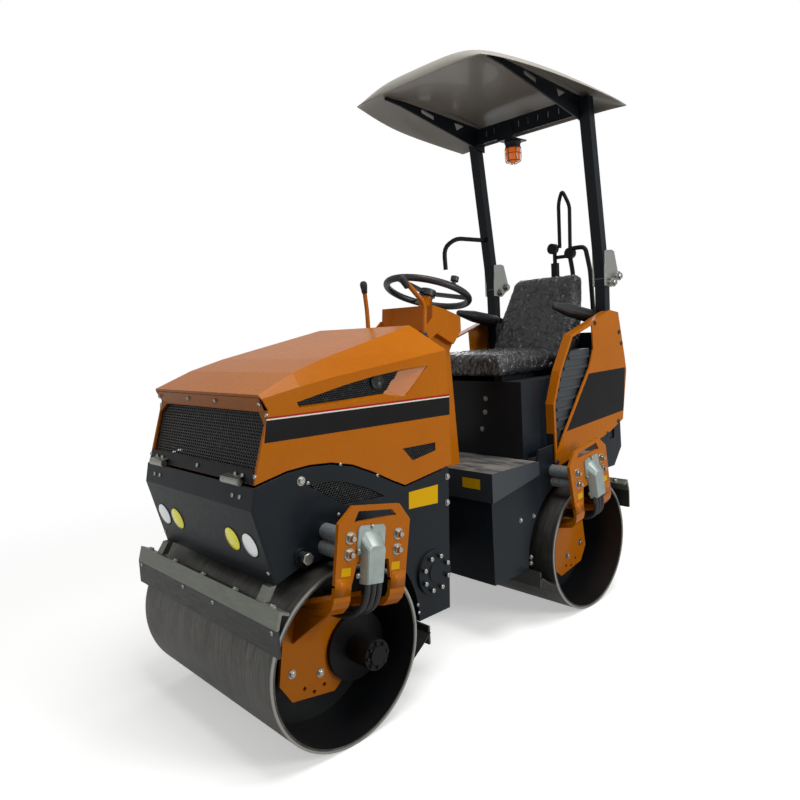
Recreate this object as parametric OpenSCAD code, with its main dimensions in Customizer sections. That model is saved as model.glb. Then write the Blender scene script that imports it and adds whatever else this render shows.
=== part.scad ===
// Mini road roller: tandem drums, articulated frame, rider's seat and folding roll bar.
// Axes: +X forward, +Y to the rider's left, +Z up; origin on the ground at mid length.

/* [Drums and wheelbase] */
// Outer radius of both drums
drum_r = 280; // [260:5:320]
// Width of both drums
drum_w = 830; // [790:10:870]
// Thickness of the rolled drum shell
shell_t = 14; // [10:1:20]
// Distance between the drum axles
wheelbase = 1340; // [1320:10:1420]
// From the rear axle to the back of the body
rear_reach = 440; // [430:5:460]

/* [Frames] */
// Outer width of both frames
frame_w = 700; // [680:10:720]
// Thickness of the frame plates
plate_t = 10; // [8:1:14]
// Underside of both frames above the ground
frame_bottom = 250; // [235:5:270]
// Height of the rider's floor
floor_z = 690; // [680:5:710]
// From the pivot forward to the back edge of the front frame
front_gap = 132; // [125:1:145]
// From the pivot back to the front of the rear frame
rear_gap = 96; // [90:1:110]

/* [Hood] */
// Thickness of the hood sheet
hood_t = 5; // [4:1:8]
// Height of the hood's back crest
hood_z = 1262; // [1240:2:1290]
// Height of the hood's front lip
visor_z = 1092; // [1070:2:1110]

/* [Drum carriers] */
// Lean of the drum carriers towards the middle of the machine, in degrees
carrier_lean = 10; // [6:1:12]
// Outer face of the carrier plates, from the centre plane
carrier_y = 469; // [462:1:476]
// Thickness of the carrier plates
carrier_t = 12; // [10:1:14]
// Middle plane of the plates inside the drums
inner_y = 276; // [268:1:284]

/* [Roll bar and roof] */
// Width of the roll bar tube across the machine
post_w = 50; // [44:2:56]
// Middle of each post, in from the outside of the side plates
post_inset = 32; // [30:1:36]
// Height of the fold bolts
fold_z = 1437; // [1430:1:1444]
// Height of the top of the posts
post_top = 2208; // [2190:2:2210]
// Forward lean of the upper posts, in degrees
post_lean = 7.5; // [6:0.5:8]
// Thickness of the roof shell
roof_t = 6; // [5:1:10]

/* [Seat and controls] */
// Width of the seat cushion
seat_w = 470; // [440:10:490]
// Thickness of the seat cushion
seat_t = 95; // [80:5:110]
// Height of the top of the seat box
seat_box_z = 1010; // [1000:2:1030]
// Outer radius of the steering wheel
wheel_r = 185; // [165:5:195]

/* [Hidden] */
$fn = 48;
front_x = (wheelbase + rear_reach - drum_r) / 2;
rear_x = front_x - wheelbase;
pivot_x = front_x - wheelbase / 2;
frame_y = frame_w / 2;
post_y = frame_y - post_inset;
drum_y = drum_w / 2;
axle_z = drum_r;
fit = 0.05;      // running clearance of pins and bearings
carrier_in = carrier_y - carrier_t;
arch_r = drum_r + 42;
arch_dx = 35;    // arches sit this far towards the middle
arch_dz = 15;    // and this far below the axle
front_back = -(wheelbase / 2 - front_gap);   // back edge of the front frame, from the front axle
rear_front = wheelbase / 2 - rear_gap;       // front of the rear frame, from the rear axle

orange = "#D9822B";
slate = "#3A414A";
black = "#1C1D1F";
steel = "#8C8C88";
zinc = "#B9BDC0";

// Carries a shape to both sides of the machine.
module both_sides() { children(); mirror([0, 1, 0]) children(); }

// Gives a flat X-Z outline a thickness between two distances from the centre plane.
module slab(y0, y1) { translate([0, y1, 0]) rotate([90, 0, 0]) linear_extrude(y1 - y0) children(); }

// A round bar along Y between two distances from the centre plane.
module bar_y(x, z, r, y0, y1) { translate([x, y1, z]) rotate([90, 0, 0]) cylinder(r = r, h = y1 - y0); }

// The front and rear halves: X runs from the axle away from the middle of the machine.
module at_front() { translate([front_x, 0, 0]) children(); }
module at_rear() { translate([rear_x, 0, 0]) mirror([1, 0, 0]) children(); }

// The carriers' own frame: origin on the axle, leaning towards the middle of the machine.
module leaning() { translate([0, 0, axle_z]) rotate([0, -carrier_lean, 0]) children(); }

// A path with each corner rounded by a short curve that starts cut before it.
function unit(v) = v / norm(v);
function corner(a, m, b, t) = pow(1 - t, 2) * a + 2 * t * (1 - t) * m + t * t * b;
function rounded(p, cut) = [p[0], for (i = [1:len(p) - 2], t = [0:0.25:1])
    corner(p[i] + cut * unit(p[i - 1] - p[i]), p[i], p[i] + cut * unit(p[i + 1] - p[i]), t), p[len(p) - 1]];

// A bent tube along a path that lies in one plane; normal is square to that plane.
tube_sides = 12;
module tube(path, r, cut, normal) {
    q = rounded(path, cut);
    last = len(q) - 1;
    s = tube_sides;
    rings = [for (i = [0:last])
        let(t = unit(q[min(i + 1, last)] - q[max(i - 1, 0)]), u = cross(normal, t))
            for (k = [0:s - 1]) q[i] + r * (cos(k * 360 / s) * normal + sin(k * 360 / s) * u)];
    sides = [for (i = [0:last - 1], k = [0:s - 1]) let(n = (k + 1) % s)
        each [[i * s + k, i * s + n, (i + 1) * s + n], [i * s + k, (i + 1) * s + n, (i + 1) * s + k]]];
    polyhedron(rings, concat(sides, [[for (k = [s - 1:-1:0]) k], [for (k = [0:s - 1]) last * s + k]]));
}

// The hood's side edge over the front frame, from front to back, as X from the axle and Z.
hood_edge = [[239, 845], [132, 867], [55, 871], [-25, 864], [-108, 843], [-194, 803],
    [-265, 764], [-324, 735], [front_back - 14, 765]];

// Side plates of the front frame.
module front_side_outline() {
    difference() {
        union() {
            polygon(concat([for (p = hood_edge) if (p.x < 236 && p.x > front_back) p - [0, 7]],
                [[front_back, 757], [front_back + 28, frame_bottom], [-340, frame_bottom],
                 [-200, 420], [0, 577], [111, 577], [195, 548], [252, 775], [239, 838]]));
            // rest for the closed hood
            polygon([[-530, 740], [-500, 740], [-500, 757.9], [-530, 761.8]]);
        }
        translate([-arch_dx, axle_z - arch_dz]) circle(r = arch_r);
    }
}

// Opening for the mesh under the hood's edge.
module side_grille_outline() {
    polygon([[68, 812], [-12, 808], [-78, 793], [-165, 756], [-233, 716], [-70, 722]]);
}

lamp_at = [[223, 663, 182, 39], [222, 662, 282, 40]];   // x, z, y, radius of each lamp
pivot_lug_z = [330, 560];   // undersides of the front frame's two pivot lugs
pivot_lug_t = 28;
pivot_r = 28;
lug_r = 62;
back_wall = front_gap + 28;  // back wall of the front frame, ahead of the pivot
cylinder_y = -150;
cylinder_z = 445;
rod_eye = 90;                // rod's eye ahead of the pivot
base_eye = 300;              // base pin behind the pivot
eye_r = 24;
eye_h = 44;
eye_gap = 8;                 // from the rod's eye to its lugs

// Holes in the bottom plates for lashing hooks.
lash_r = 16;
lash_y = 250;
module lash_holes(x) both_sides()
    translate([x, lash_y, frame_bottom - 1]) cylinder(r = lash_r, h = plate_t + 2);

module front_frame() color(slate) {
    at_front() {
        both_sides() slab(frame_y - plate_t, frame_y) difference() {
            front_side_outline();
            side_grille_outline();
        }
        // curved guard over the drum
        slab(-frame_y + plate_t, frame_y - plate_t) intersection() {
            difference() {
                translate([-arch_dx, axle_z - arch_dz]) circle(r = arch_r + 6, $fn = 96);
                translate([-arch_dx, axle_z - arch_dz]) circle(r = arch_r, $fn = 96);
            }
            polygon([[-420, 262], [-420, 620], [90, 620], [90, 540], [-100, 262]]);
        }
        // back wall, bottom and top beams
        translate([front_back + 28, -frame_y + plate_t, frame_bottom])
            cube([plate_t, frame_w - 2 * plate_t, 480]);
        translate([-356, -frame_y + plate_t, frame_bottom])
            cube([plate_t, frame_w - 2 * plate_t, 16]);
        difference() {
            translate([front_back + 28 + plate_t, -frame_y + plate_t, frame_bottom])
                cube([-356 - front_back - 28 - plate_t, frame_w - 2 * plate_t, plate_t]);
            lash_holes(-430);
        }
        // engine beds and radiator beam
        both_sides() translate([front_back + 34, 150, 584]) cube([504, 50, 28]);
        both_sides() translate([front_back + 34, 152, 536]) cube([60, 46, 56]);
        translate([95, -frame_y + plate_t, 620]) cube([50, frame_w - 2 * plate_t, 20]);
    }
    // pivot lugs
    for (z = pivot_lug_z) difference() {
        translate([0, 0, z]) linear_extrude(pivot_lug_t) lug_plan();
        translate([pivot_x, 0, z - 1]) cylinder(r = pivot_r - 0.5, h = pivot_lug_t + 2);
    }
    // lugs of the steering cylinder's rod
    for (s = [-1, 1]) translate([pivot_x, cylinder_y, cylinder_z + s * (eye_h / 2 + eye_gap + 8) - 8])
        linear_extrude(16) polygon([[back_wall, -60], [back_wall, 60], [rod_eye - 34, 42], [rod_eye - 34, -42]]);
}

// Tapered plan of a pivot lug, reaching from the back wall round the pivot.
module lug_plan() {
    translate([pivot_x, 0]) circle(r = lug_r);
    polygon([[pivot_x + back_wall, 110], [pivot_x + 20, lug_r - 14], [pivot_x + 20, 14 - lug_r],
             [pivot_x + back_wall, -110]]);
}

module pivot_pin() color(steel) translate([pivot_x, 0, 0]) {
    translate([0, 0, pivot_lug_z[0] - 12])
        cylinder(r = pivot_r - 0.5, h = pivot_lug_z[1] - pivot_lug_z[0] + pivot_lug_t + 24);
    for (z = [pivot_lug_z[0] - 12, pivot_lug_z[1] + pivot_lug_t + 0.2])
        translate([0, 0, z]) cylinder(r = 40, h = 11.8);
}

// Raked front panel, folded once, with holes for four lamps.
module front_panel() color(slate) at_front() {
    difference() {
        slab(-frame_y, frame_y) polygon([[195.3, 548], [252.3, 775], [239.3, 838], [245.5, 838],
            [258.5, 775], [201.5, 548]]);
        for (l = lamp_at) both_sides() translate([l[0], l[2], l[1]]) rotate([0, 90 + 14, 0])
            translate([0, 0, -30]) cylinder(r = l[3] + 0.3, h = 80);
    }
    // hinge brackets and pins for the hood
    both_sides() translate([hinge_x, hinge_y, hinge_z]) {
        for (y = [-34, 22]) translate([0, y + 12, 0]) rotate([90, 0, 0]) difference() {
            union() {
                cylinder(r = 8, h = 12);
                translate([-11, -13, 0]) cube([12, 14, 12]);
            }
            translate([0, 0, -1]) cylinder(r = 5, h = 14);
        }
        translate([0, 34, 0]) rotate([90, 0, 0]) cylinder(r = 5, h = 68);
    }
}
hinge_x = 254;
hinge_y = 245;
hinge_z = 850;

module headlamps() color("#E8E4C8") at_front()
    for (l = lamp_at) both_sides() translate([l[0], l[2], l[1]]) rotate([0, 90 + 14, 0]) {
        translate([0, 0, -22]) cylinder(r = l[3], h = 34);
        translate([0, 0, 12]) cylinder(r1 = l[3], r2 = l[3] - 8, h = 6);
        translate([0, 0, -34]) cylinder(r = l[3] - 12, h = 12);
    }

module side_grilles() color(black) at_front() both_sides()
    slab(frame_y - plate_t, frame_y - plate_t + 4) side_grille_outline();

// Round bolted covers low on the frame, and the thick screws on the front frame.
cover_bolts = 8;
module frame_covers() color(slate) at_front() both_sides() {
    bar_y(-435, 403, 78, frame_y, frame_y + 10);
    bar_y(-435, 403, 30, frame_y + 10, frame_y + 14);
    for (i = [0:cover_bolts - 1]) {
        a = (i + 0.5) * 360 / cover_bolts;
        bar_y(-435 + 60 * cos(a), 403 + 60 * sin(a), 8, frame_y + 10, frame_y + 17);
    }
    bar_y(105, 607, 26, frame_y, frame_y + 5);
    bar_y(105, 607, 17, frame_y + 5, frame_y + 24);
}

module engine() color("#4A4C4E") at_front() translate([-400, -200, 612]) cube([440, 400, 440]);

module radiator() color("#2B2D30") at_front() translate([90, -270, 640]) {
    difference() {
        cube([60, 540, 390]);
        translate([20, 20, 20]) cube([45, 500, 350]);
    }
    translate([22, 20, 20]) cube([30, 500, 350]);
}

// Outer plate of a drum carrier: shoulders, a wedge slot and a window between the legs.
bolt_u = 94;            // half distance between the two bolt columns
bolt_v = [374, 327];    // heights of the bolts above the axle
carrier_du = -15;       // the plate's middle line, from the leaning line
standoff_r = 24;
leg_w = 62;
module carrier_outline() {
    difference() {
        polygon([[-92, 466], [92, 466], [141, 416], [139, 240], [75, 240], [62, 300], [-62, 300],
                 [-75, 240], [-139, 240], [-141, 416]]);
        polygon([[-82, 432], [-62, 450], [70, 450], [84, 418]]);
    }
}

// A leg: down outside the rim, then inward under it to the plate inside the drum.
leg_bend_v = 192;
module leg_profile() {
    polygon([[carrier_y, leg_bend_v + 40], [carrier_y, leg_bend_v], [carrier_y - 8, leg_bend_v - 22],
             [carrier_y - 28, leg_bend_v - 44], [inner_y + 30, 120], [inner_y + 6, 96],
             [inner_y - 6, 96], [inner_y - 6, 130], [inner_y + 22, 138],
             [carrier_in - 30, leg_bend_v - 30], [carrier_in - 8, leg_bend_v - 12],
             [carrier_in, leg_bend_v + 6], [carrier_in, leg_bend_v + 40]]);
}

// Plate inside the drum that holds the bearing's buffers.
module inner_outline() {
    difference() {
        polygon([[-58, -160], [104, -160], [156, -102], [158, 60], [139, 150], [-139, 150],
                 [-152, 60], [-150, -60]]);
        for (h = [[62, -128], [24, -145], [-14, -130]]) translate(h) circle(r = 6.5, $fn = 24);
    }
}

module yoke_side() {
    leaning() {
        translate([carrier_du, 0, 0]) {
            slab(carrier_in, carrier_y) carrier_outline();
            for (s = [-1, 1])
                translate([s * (139 - leg_w / 2) - leg_w / 2, 0, 0])
                    rotate([90, 0, 90]) linear_extrude(leg_w) leg_profile();
            // gusset under the forward leg
            translate([139 - plate_t - 2, 0, 0]) rotate([90, 0, 90]) linear_extrude(plate_t)
                polygon([[carrier_in + 2, leg_bend_v + 8], [carrier_y - 14, leg_bend_v - 30],
                         [inner_y + 4, 20], [inner_y + 4, 132]]);
            for (s = [-1, 1], v = bolt_v) {
                bar_y(s * bolt_u, v, standoff_r, frame_y, carrier_in);
                bar_y(s * bolt_u, v, 11, carrier_y, carrier_y + 12);
            }
        }
        translate([carrier_du, 0, 0]) slab(inner_y - 6, inner_y + 6) translate([-carrier_du, 0])
            inner_outline();
    }
}
module yokes_front() color(orange) at_front() both_sides() yoke_side();
module yokes_rear() color(orange) at_rear() both_sides() yoke_side();

// Bearing flange on rubber buffers, with the journal that the drum turns on.
buffer_angle = [35, 145, 215, 325];
flange_y = inner_y - 6 - 34;
journal_r = 45;
module bearing_side() leaning() {
    bar_y(0, 0, 148, flange_y - 12, flange_y);
    bar_y(0, 0, 84, flange_y, flange_y + 30);
    bar_y(0, 0, journal_r, flange_y - 60, flange_y - 12);
    for (a = buffer_angle) bar_y(135 * cos(a) * 0.86, 135 * sin(a) * 0.86, 20, flange_y, inner_y - 6);
}
module bearings_front() color(black) at_front() both_sides() bearing_side();
module bearings_rear() color(black) at_rear() both_sides() bearing_side();

// Hydraulic motor bolted low on the left plate inside the drum.
motor_flange_r = 112;
module motor_body() translate([-120, 0, axle_z - 46]) {
    bar_y(0, 0, motor_flange_r, inner_y + 6, inner_y + 22);
    bar_y(0, 0, 49, inner_y + 20, 396);
    bar_y(0, 0, 30, 396, 404);
    for (i = [0:7]) bar_y(39 * cos(i * 45), 39 * sin(i * 45), 6, 396, 403);
}
module motor_front() color(black) at_front() motor_body();
module motor_rear() color(black) at_rear() mirror([0, 1, 0]) motor_body();

hose_r = 9;
// Zinc junction box on the carrier plate and the hoses that drop from it into the drum.
module hose_box_side() leaning() translate([carrier_du, 0, 0]) {
    translate([-42, carrier_y, 258]) cube([84, 34, 112]);
    translate([-62, carrier_y, 370]) cube([124, 6, 40]);
    for (u = [-24, 4])
        tube([[u, carrier_y + 16, 258], [u, carrier_y + 16, 215], [u, carrier_in - 50, 165],
              [u, inner_y + 50, 140], [u, inner_y + 6, 140]], hose_r, 24, [1, 0, 0]);
}
module hoses_front() color(zinc) at_front() both_sides() hose_box_side();
module hoses_rear() color(zinc) at_rear() both_sides() hose_box_side();

// Scrapers: outside, an angle and a blade hung from the frame; inside, a bar under the frame.
blade_y = drum_y + 40;
scraper_gap = 5;
blade_x = 263;       // back face of the outer blade, from the axle
blade_low = axle_z + sqrt(pow(drum_r + scraper_gap, 2) - pow(blade_x, 2));
module scrapers_side(top) {
    slab(-blade_y, blade_y) polygon([[226, 504], [257, 519], [blade_x + 8, 470], [blade_x + 8, blade_low],
        [blade_x, blade_low], [blade_x, 468], [251, 507], [229, 497]]);
    both_sides() {
        slab(312, 350) polygon([[196, top], [196, 548], [222, 508], [244, 511], [218, 548], [218, top]]);
    }
    slab(-drum_y + 14, drum_y - 14) polygon([[-354, 186], [-346, 186], [-346, frame_bottom], [-354, frame_bottom]]);
    slab(-drum_y + 8, drum_y - 8) polygon([[-268, 171], [-264, 166], [-347, 222], [-351, 230]]);
}
module scrapers_front() color(slate) at_front() scrapers_side(548);
module scrapers_rear() color(slate) at_rear() scrapers_side(560);

// Drum: rolled shell, two webs set in from the ends and a hub bored for the journals.
web_y = flange_y - 12 - 8;
module drum() translate([0, 0, axle_z]) rotate([90, 0, 0]) {
    difference() {
        translate([0, 0, -drum_y]) cylinder(r = drum_r, h = drum_w, $fn = 128);
        translate([0, 0, -drum_y - 1]) cylinder(r = drum_r - shell_t, h = drum_w + 2, $fn = 128);
    }
    for (s = [-1, 1]) difference() {
        union() {
            translate([0, 0, s * (web_y - 8) - 8]) cylinder(r = drum_r - shell_t, h = 16, $fn = 128);
            translate([0, 0, s * (web_y - 28) - 28]) cylinder(r = 80, h = 56);
        }
        translate([0, 0, s * (web_y - 30) - 50]) cylinder(r = journal_r + fit, h = 100);
    }
}
module drum_front() color(steel) at_front() drum();
module drum_rear() color(steel) at_rear() drum();

// Hood sections from front to back: x, half width, top of the wall, half width of the top, top.
hood_sections = [
    [239, frame_y - 4, 846, frame_y - 6, 848],
    [200, frame_y - 5, visor_z - 12, frame_y - 15, visor_z],
    [71, frame_y, visor_z + 10, frame_y - 28, visor_z + 51],
    [-50, frame_y, visor_z + 27, frame_y - 42, visor_z + 84],
    [-470, frame_y, visor_z + 68, frame_y - 88, hood_z],
    [front_back - 15, frame_y, visor_z + 78, frame_y - 6, visor_z + 82]
];
module hood_form(inset) hull() for (s = hood_sections)
    translate([s[0] - (s[0] > 0 ? inset : -inset), 0, 0]) rotate([90, 0, 90]) linear_extrude(0.1)
        polygon([[-s[1] + inset, 700], [-s[1] + inset, s[2] - inset / 2], [-s[3] + inset, s[4] - inset],
                 [s[3] - inset, s[4] - inset], [s[1] - inset, s[2] - inset / 2], [s[1] - inset, 700]]);

// Long window recess in each side of the hood.
module hood_window() polygon([[82, 1059], [75, 1040], [-60, 1036], [-254, 1040], [-348, 1029],
    [-460, 1122], [-335, 1118], [-218, 1108], [-100, 1092], [0, 1074]]);
module hood_slot() polygon([[-322, 858], [-478, 855], [-476, 826], [-366, 810]]);

// Opening for the grille, with its upper corners cut off.
module grille_hole() translate([130, 0, 0]) rotate([90, 0, 90]) linear_extrude(190)
    polygon([[-335, 876], [335, 876], [338, 1008], [300, 1040], [-300, 1040], [-338, 1008]]);

module hood() color(orange) at_front() {
    difference() {
        hood_form(0);
        hood_form(hood_t);
        // underside follows the frame's edge
        slab(-400, 400) polygon(concat([[300, 845]], hood_edge, [[front_back - 40, 765],
            [front_back - 40, 600], [300, 600]]));
        // raked front under the visor
        slab(-400, 400) polygon([[242, 836], [177, 1048], [202, 1094], [300, 1094], [300, 836]]);
        grille_hole();
        both_sides() slab(300, 400) { hood_window(); hood_slot(); }
    }
    // folded lip round the grille
    difference() {
        slab(-346, 346) polygon([[238, 852], [178, 1046], [170, 1046], [230, 852]]);
        grille_hole();
    }
    // hinge arms down to the pins on the front panel
    both_sides() difference() {
        union() {
            bar_y(hinge_x, hinge_z, 8, hinge_y - 20, hinge_y + 20);
            slab(hinge_y - 20, hinge_y + 20) polygon([[232, 862], [242, 862], [258, 855], [252, 844], [236, 850]]);
        }
        bar_y(hinge_x, hinge_z, 5 + fit, hinge_y - 40, hinge_y + 40);
    }
}

module hood_grille() color(black) at_front()
    slab(-338, 338) polygon([[225.4, 866], [171.2, 1041], [166.2, 1041], [220.4, 866]]);

module hood_vents() color(black) at_front() both_sides() {
    slab(frame_y - hood_t - 4.8, frame_y - hood_t - 0.8) offset(delta = 6) hood_window();
    bar_y(-225, 1082, 17, frame_y - hood_t - 1, frame_y - 2);
}

// Side plates of the rear frame, notched for the roll bar posts.
deck_x = [-rear_front + 294, 386];    // front and back of the deck, from the rear axle
module rear_side_outline() {
    difference() {
        polygon([[-rear_front, frame_bottom], [-rear_front, floor_z - 120], [-rear_front + 10, floor_z - 6],
                 [deck_x[0] + 6, floor_z - 6], [deck_x[0] + 20, 728], [390, 770], [396, 640],
                 [330, 560], [0, 560], [-220, 420], [-340, frame_bottom]]);
        translate([-arch_dx, axle_z - arch_dz]) circle(r = arch_r);
        translate([post_x - post_d / 2, floor_z]) square([post_d, 200]);
    }
}
base_pin_r = 12;
lug_gap = 0.3;
module rear_frame() color(slate) {
    at_rear() {
        both_sides() slab(frame_y - plate_t, frame_y) rear_side_outline();
        slab(-frame_y + plate_t, frame_y - plate_t) intersection() {
            difference() {
                translate([-arch_dx, axle_z - arch_dz]) circle(r = arch_r + 6, $fn = 96);
                translate([-arch_dx, axle_z - arch_dz]) circle(r = arch_r, $fn = 96);
            }
            polygon([[-420, 262], [-420, 620], [260, 620], [260, 430], [-100, 262]]);
        }
        // front wall with a window for the steering cylinder
        difference() {
            translate([-rear_front, -frame_y + plate_t, frame_bottom])
                cube([plate_t, frame_w - 2 * plate_t, floor_z - 6 - frame_bottom]);
            translate([-rear_front - 1, cylinder_y - 78, cylinder_z - 40]) cube([plate_t + 2, 156, 80]);
        }
        difference() {
            translate([-rear_front + plate_t, -frame_y + plate_t, frame_bottom])
                cube([rear_front - 356, frame_w - 2 * plate_t, plate_t]);
            lash_holes(-455);
        }
        // deck and back beam with the towing lugs
        translate([deck_x[0], -frame_y + plate_t, floor_z - 10])
            cube([deck_x[1] - deck_x[0], frame_w - 2 * plate_t, 10]);
        translate([deck_x[1], -frame_y + plate_t, 640]) cube([10, frame_w - 2 * plate_t, 120]);
        for (z = tow_z) difference() {
            translate([deck_x[1] + 10, -38, z]) cube([38, 76, tow_t]);
            translate([tow_x, 0, z - 1]) cylinder(r = tow_r, h = tow_t + 2);
        }
        // lugs of the steering cylinder's base
        for (s = [-1, 1]) difference() {
            translate([-400, cylinder_y - 34, cylinder_z + s * (eye_h / 2 + lug_gap + 8) - 8])
                cube([130, 68, 16]);
            slab(-400, 400) translate([-arch_dx, axle_z - arch_dz]) circle(r = arch_r + 2);
            translate([rear_x - pivot_x + base_eye, cylinder_y, 300])
                cylinder(r = base_pin_r + fit, h = 300);
        }
    }
    // pivot bearing block
    difference() {
        union() {
            translate([pivot_x, 0, pivot_lug_z[0] + pivot_lug_t + 6]) cylinder(r = 58, h = 190);
            translate([pivot_x - rear_gap, -56, pivot_lug_z[0] + pivot_lug_t + 6]) cube([rear_gap - 20, 112, 190]);
        }
        translate([pivot_x, 0, 300]) cylinder(r = pivot_r - 0.5 + fit, h = 300);
    }
}
tow_z = [640, 680];
tow_t = 14;
tow_x = 418;
tow_r = 13;

// Rider's floor: a folded plate with a deep skirt.
module skirt_bracket() translate([-rear_front + 20, floor_z - 80]) square([30, 74]);
module floor_plate() color(slate) at_rear() {
    y = frame_y + 12;
    translate([-rear_front - 6, -y, floor_z - 6]) cube([box_front - 0.2 + rear_front + 6, 2 * y, 6]);
    translate([-rear_front - 6, -y, floor_z - 114]) cube([5.8, 2 * y, 108]);
    both_sides() slab(y - 5, y) polygon([[-rear_front - 6, floor_z - 114], [-rear_front - 6, floor_z - 6],
        [-rear_front + 294, floor_z - 6], [-rear_front + 294, floor_z - 60]]);
    both_sides() slab(frame_y, y - 5) skirt_bracket();
}

// Box under the seat.
box_front = -300;     // from the rear axle
box_y = frame_y - 50;
module seat_box() color(slate) at_rear() {
    difference() {
        translate([box_front, -box_y, floor_z]) cube([500, 2 * box_y, seat_box_z - floor_z]);
        translate([box_front + 6, -box_y + 6, floor_z - 1])
            cube([488, 2 * box_y - 12, seat_box_z - floor_z - 5]);
    }
    // seat slides and the backrest's brackets
    both_sides() {
        translate([box_front + 20, 150, seat_box_z]) cube([420, 40, 22]);
        slab(100, 110) polygon([[150, seat_box_z], [198, seat_box_z], [210.6, 1054.7], [182.8, 1066]]);
    }
}

cushion_z = seat_box_z + 22.2;
module pad(size, r) translate([r, r, r]) hull()
    for (x = [0, size.x - 2 * r], y = [0, size.y - 2 * r], z = [0, size.z - 2 * r])
        translate([x, y, z]) sphere(r = r, $fn = 16);
module seat_cushion() color(black) at_rear()
    translate([box_front - 45, -seat_w / 2, cushion_z]) pad([480, seat_w, seat_t], 30);

// Backrest: leans back between the roll bar posts and narrows upwards.
back_x = 155;
back_lean = 22;
module seat_back() color(black) at_rear()
    translate([back_x, 0, cushion_z + 45]) rotate([0, back_lean, 0]) hull() {
        translate([0, -seat_w / 2, 0]) pad([90, seat_w, 160], 30);
        translate([5, -190, 300]) pad([75, 380, 130], 34);
    }
arm_y = frame_y - 74;
module armrests() color(black) at_rear() both_sides() {
    bar_y(252, 1264, 14, 224, arm_y);
    hull() {
        translate([-8, arm_y, 1312]) sphere(r = 15, $fn = 16);
        translate([100, arm_y, 1292]) sphere(r = 29, $fn = 16);
        translate([252, arm_y, 1264]) sphere(r = 32, $fn = 16);
    }
}

// Orange side guards of the seat: sheet with a window and a thick front edge.
module guard_outline() polygon([[-158, 636], [-163, 905], [-109, 1040], [-14, 1187], [301, 1284],
    [376, 1272], [rear_reach - 12, 1060], [rear_reach, 1000], [399, 771], [270, 724]]);
module guard_window() polygon([[148, 1220], [154, 1116], [118, 1038], [-93, 774], [-146, 700],
    [-151, 902], [-98, 1034], [-6, 1176]]);
flange = 34;     // depth of the guards' folded edge
function leaned(u, v) = [u * cos(carrier_lean) - v * sin(carrier_lean),
    axle_z + u * sin(carrier_lean) + v * cos(carrier_lean)];
module standoff_notches() for (s = [-1, 1], v = bolt_v)
    translate(leaned(carrier_du + s * bolt_u, v)) circle(r = standoff_r + 6);
module side_guards() color(orange) at_rear() both_sides() {
    slab(frame_y + 4, frame_y + 10) difference() {
        guard_outline();
        guard_window();
        standoff_notches();
    }
    slab(frame_y + 4 - flange, frame_y + 4) difference() {
        guard_outline();
        offset(delta = -7) guard_outline();
        translate([-200, 500]) square([800, 280]);
        translate([post_x - post_d / 2 - 2, 1200]) square([post_d + 4, 200]);
    }
    for (b = [[-128, 668], [120, 715], [270, 744]]) bar_y(b.x, b.y, 14, frame_y, frame_y + 4);
}

module water_tank() color(black) at_rear() both_sides() {
    slab(box_y, frame_y - plate_t - 0.2) polygon([[-118, 690], [-132, 900], [-84, 1020], [10, 1116],
        [150, 1120], [190, 1090], [190, 735], [100, 690]]);
}

// Closing sheet at the back with a ledge for the tall rail.
rear_cover_x = deck_x[1] + 10;
rear_cover_z = 1175;
module rear_cover() color(slate) at_rear() {
    translate([rear_cover_x, -frame_y + 32, 700]) cube([8, frame_w - 64, rear_cover_z - 700]);
    translate([rear_cover_x, -frame_y + 32, rear_cover_z]) cube([38, frame_w - 64, 8]);
}

// Steering console on a pedestal at the front of the floor.
console_x = -640;   // front of the console's head, from the rear axle
module console() color(orange) at_rear() difference() {
    console_solid();
    on_column() translate([0, 0, -130]) cylinder(r = shaft_r + fit, h = 140);
}
shaft_r = 12;
module console_solid() {
    slab(-145, 145) polygon([[console_x, 1240], [console_x + 10, 1336], [console_x + 83, 1317],
        [console_x + 167, 1288], [console_x + 167, 1230], [console_x + 120, 1180]]);
    slab(-120, 120) polygon([[console_x + 2, 1243], [console_x + 120, 1183], [console_x + 150, floor_z],
        [console_x + 70, floor_z]]);
    on_column() translate([0, 0, -110]) cylinder(r = 26, h = 90);
}
wheel_at = [-505, 1393];    // steering wheel's middle, from the rear axle
wheel_tilt = 20;
module on_column() translate([wheel_at.x, 0, wheel_at.y]) rotate([0, wheel_tilt, 0]) children();
module steering_wheel() color(black) at_rear() on_column() {
    rotate_extrude($fn = 64) translate([wheel_r - 14, 0]) circle(r = 14, $fn = 24);
    translate([0, 0, -16]) cylinder(r = 34, h = 26);
    translate([0, 0, -100]) cylinder(r = shaft_r, h = 86);
    for (a = [60, 180, 300]) rotate(a) translate([28, -12, -10]) cube([wheel_r - 40, 24, 12]);
    rotate(100) translate([wheel_r - 14, 0, 12]) {
        cylinder(r = 8, h = 12);
        translate([0, 0, 11]) cylinder(r = 16, h = 18);
    }
}

module control_levers() color(orange) at_rear() {
    tube([[-700, 160, 1200], [-688, 160, 1340], [-800, 160, 1440]], 9, 30, [0, 1, 0]);
    tube([[-700, -160, 1200], [-700, -160, 1330], [-712, -160, 1450]], 9, 30, [0, 1, 0]);
    both_sides() slab(145, 151) polygon([[-716, 1190], [-684, 1190], [-604, 1235], [-604, 1285],
        [-640, 1285], [-716, 1222]]);
}

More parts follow.
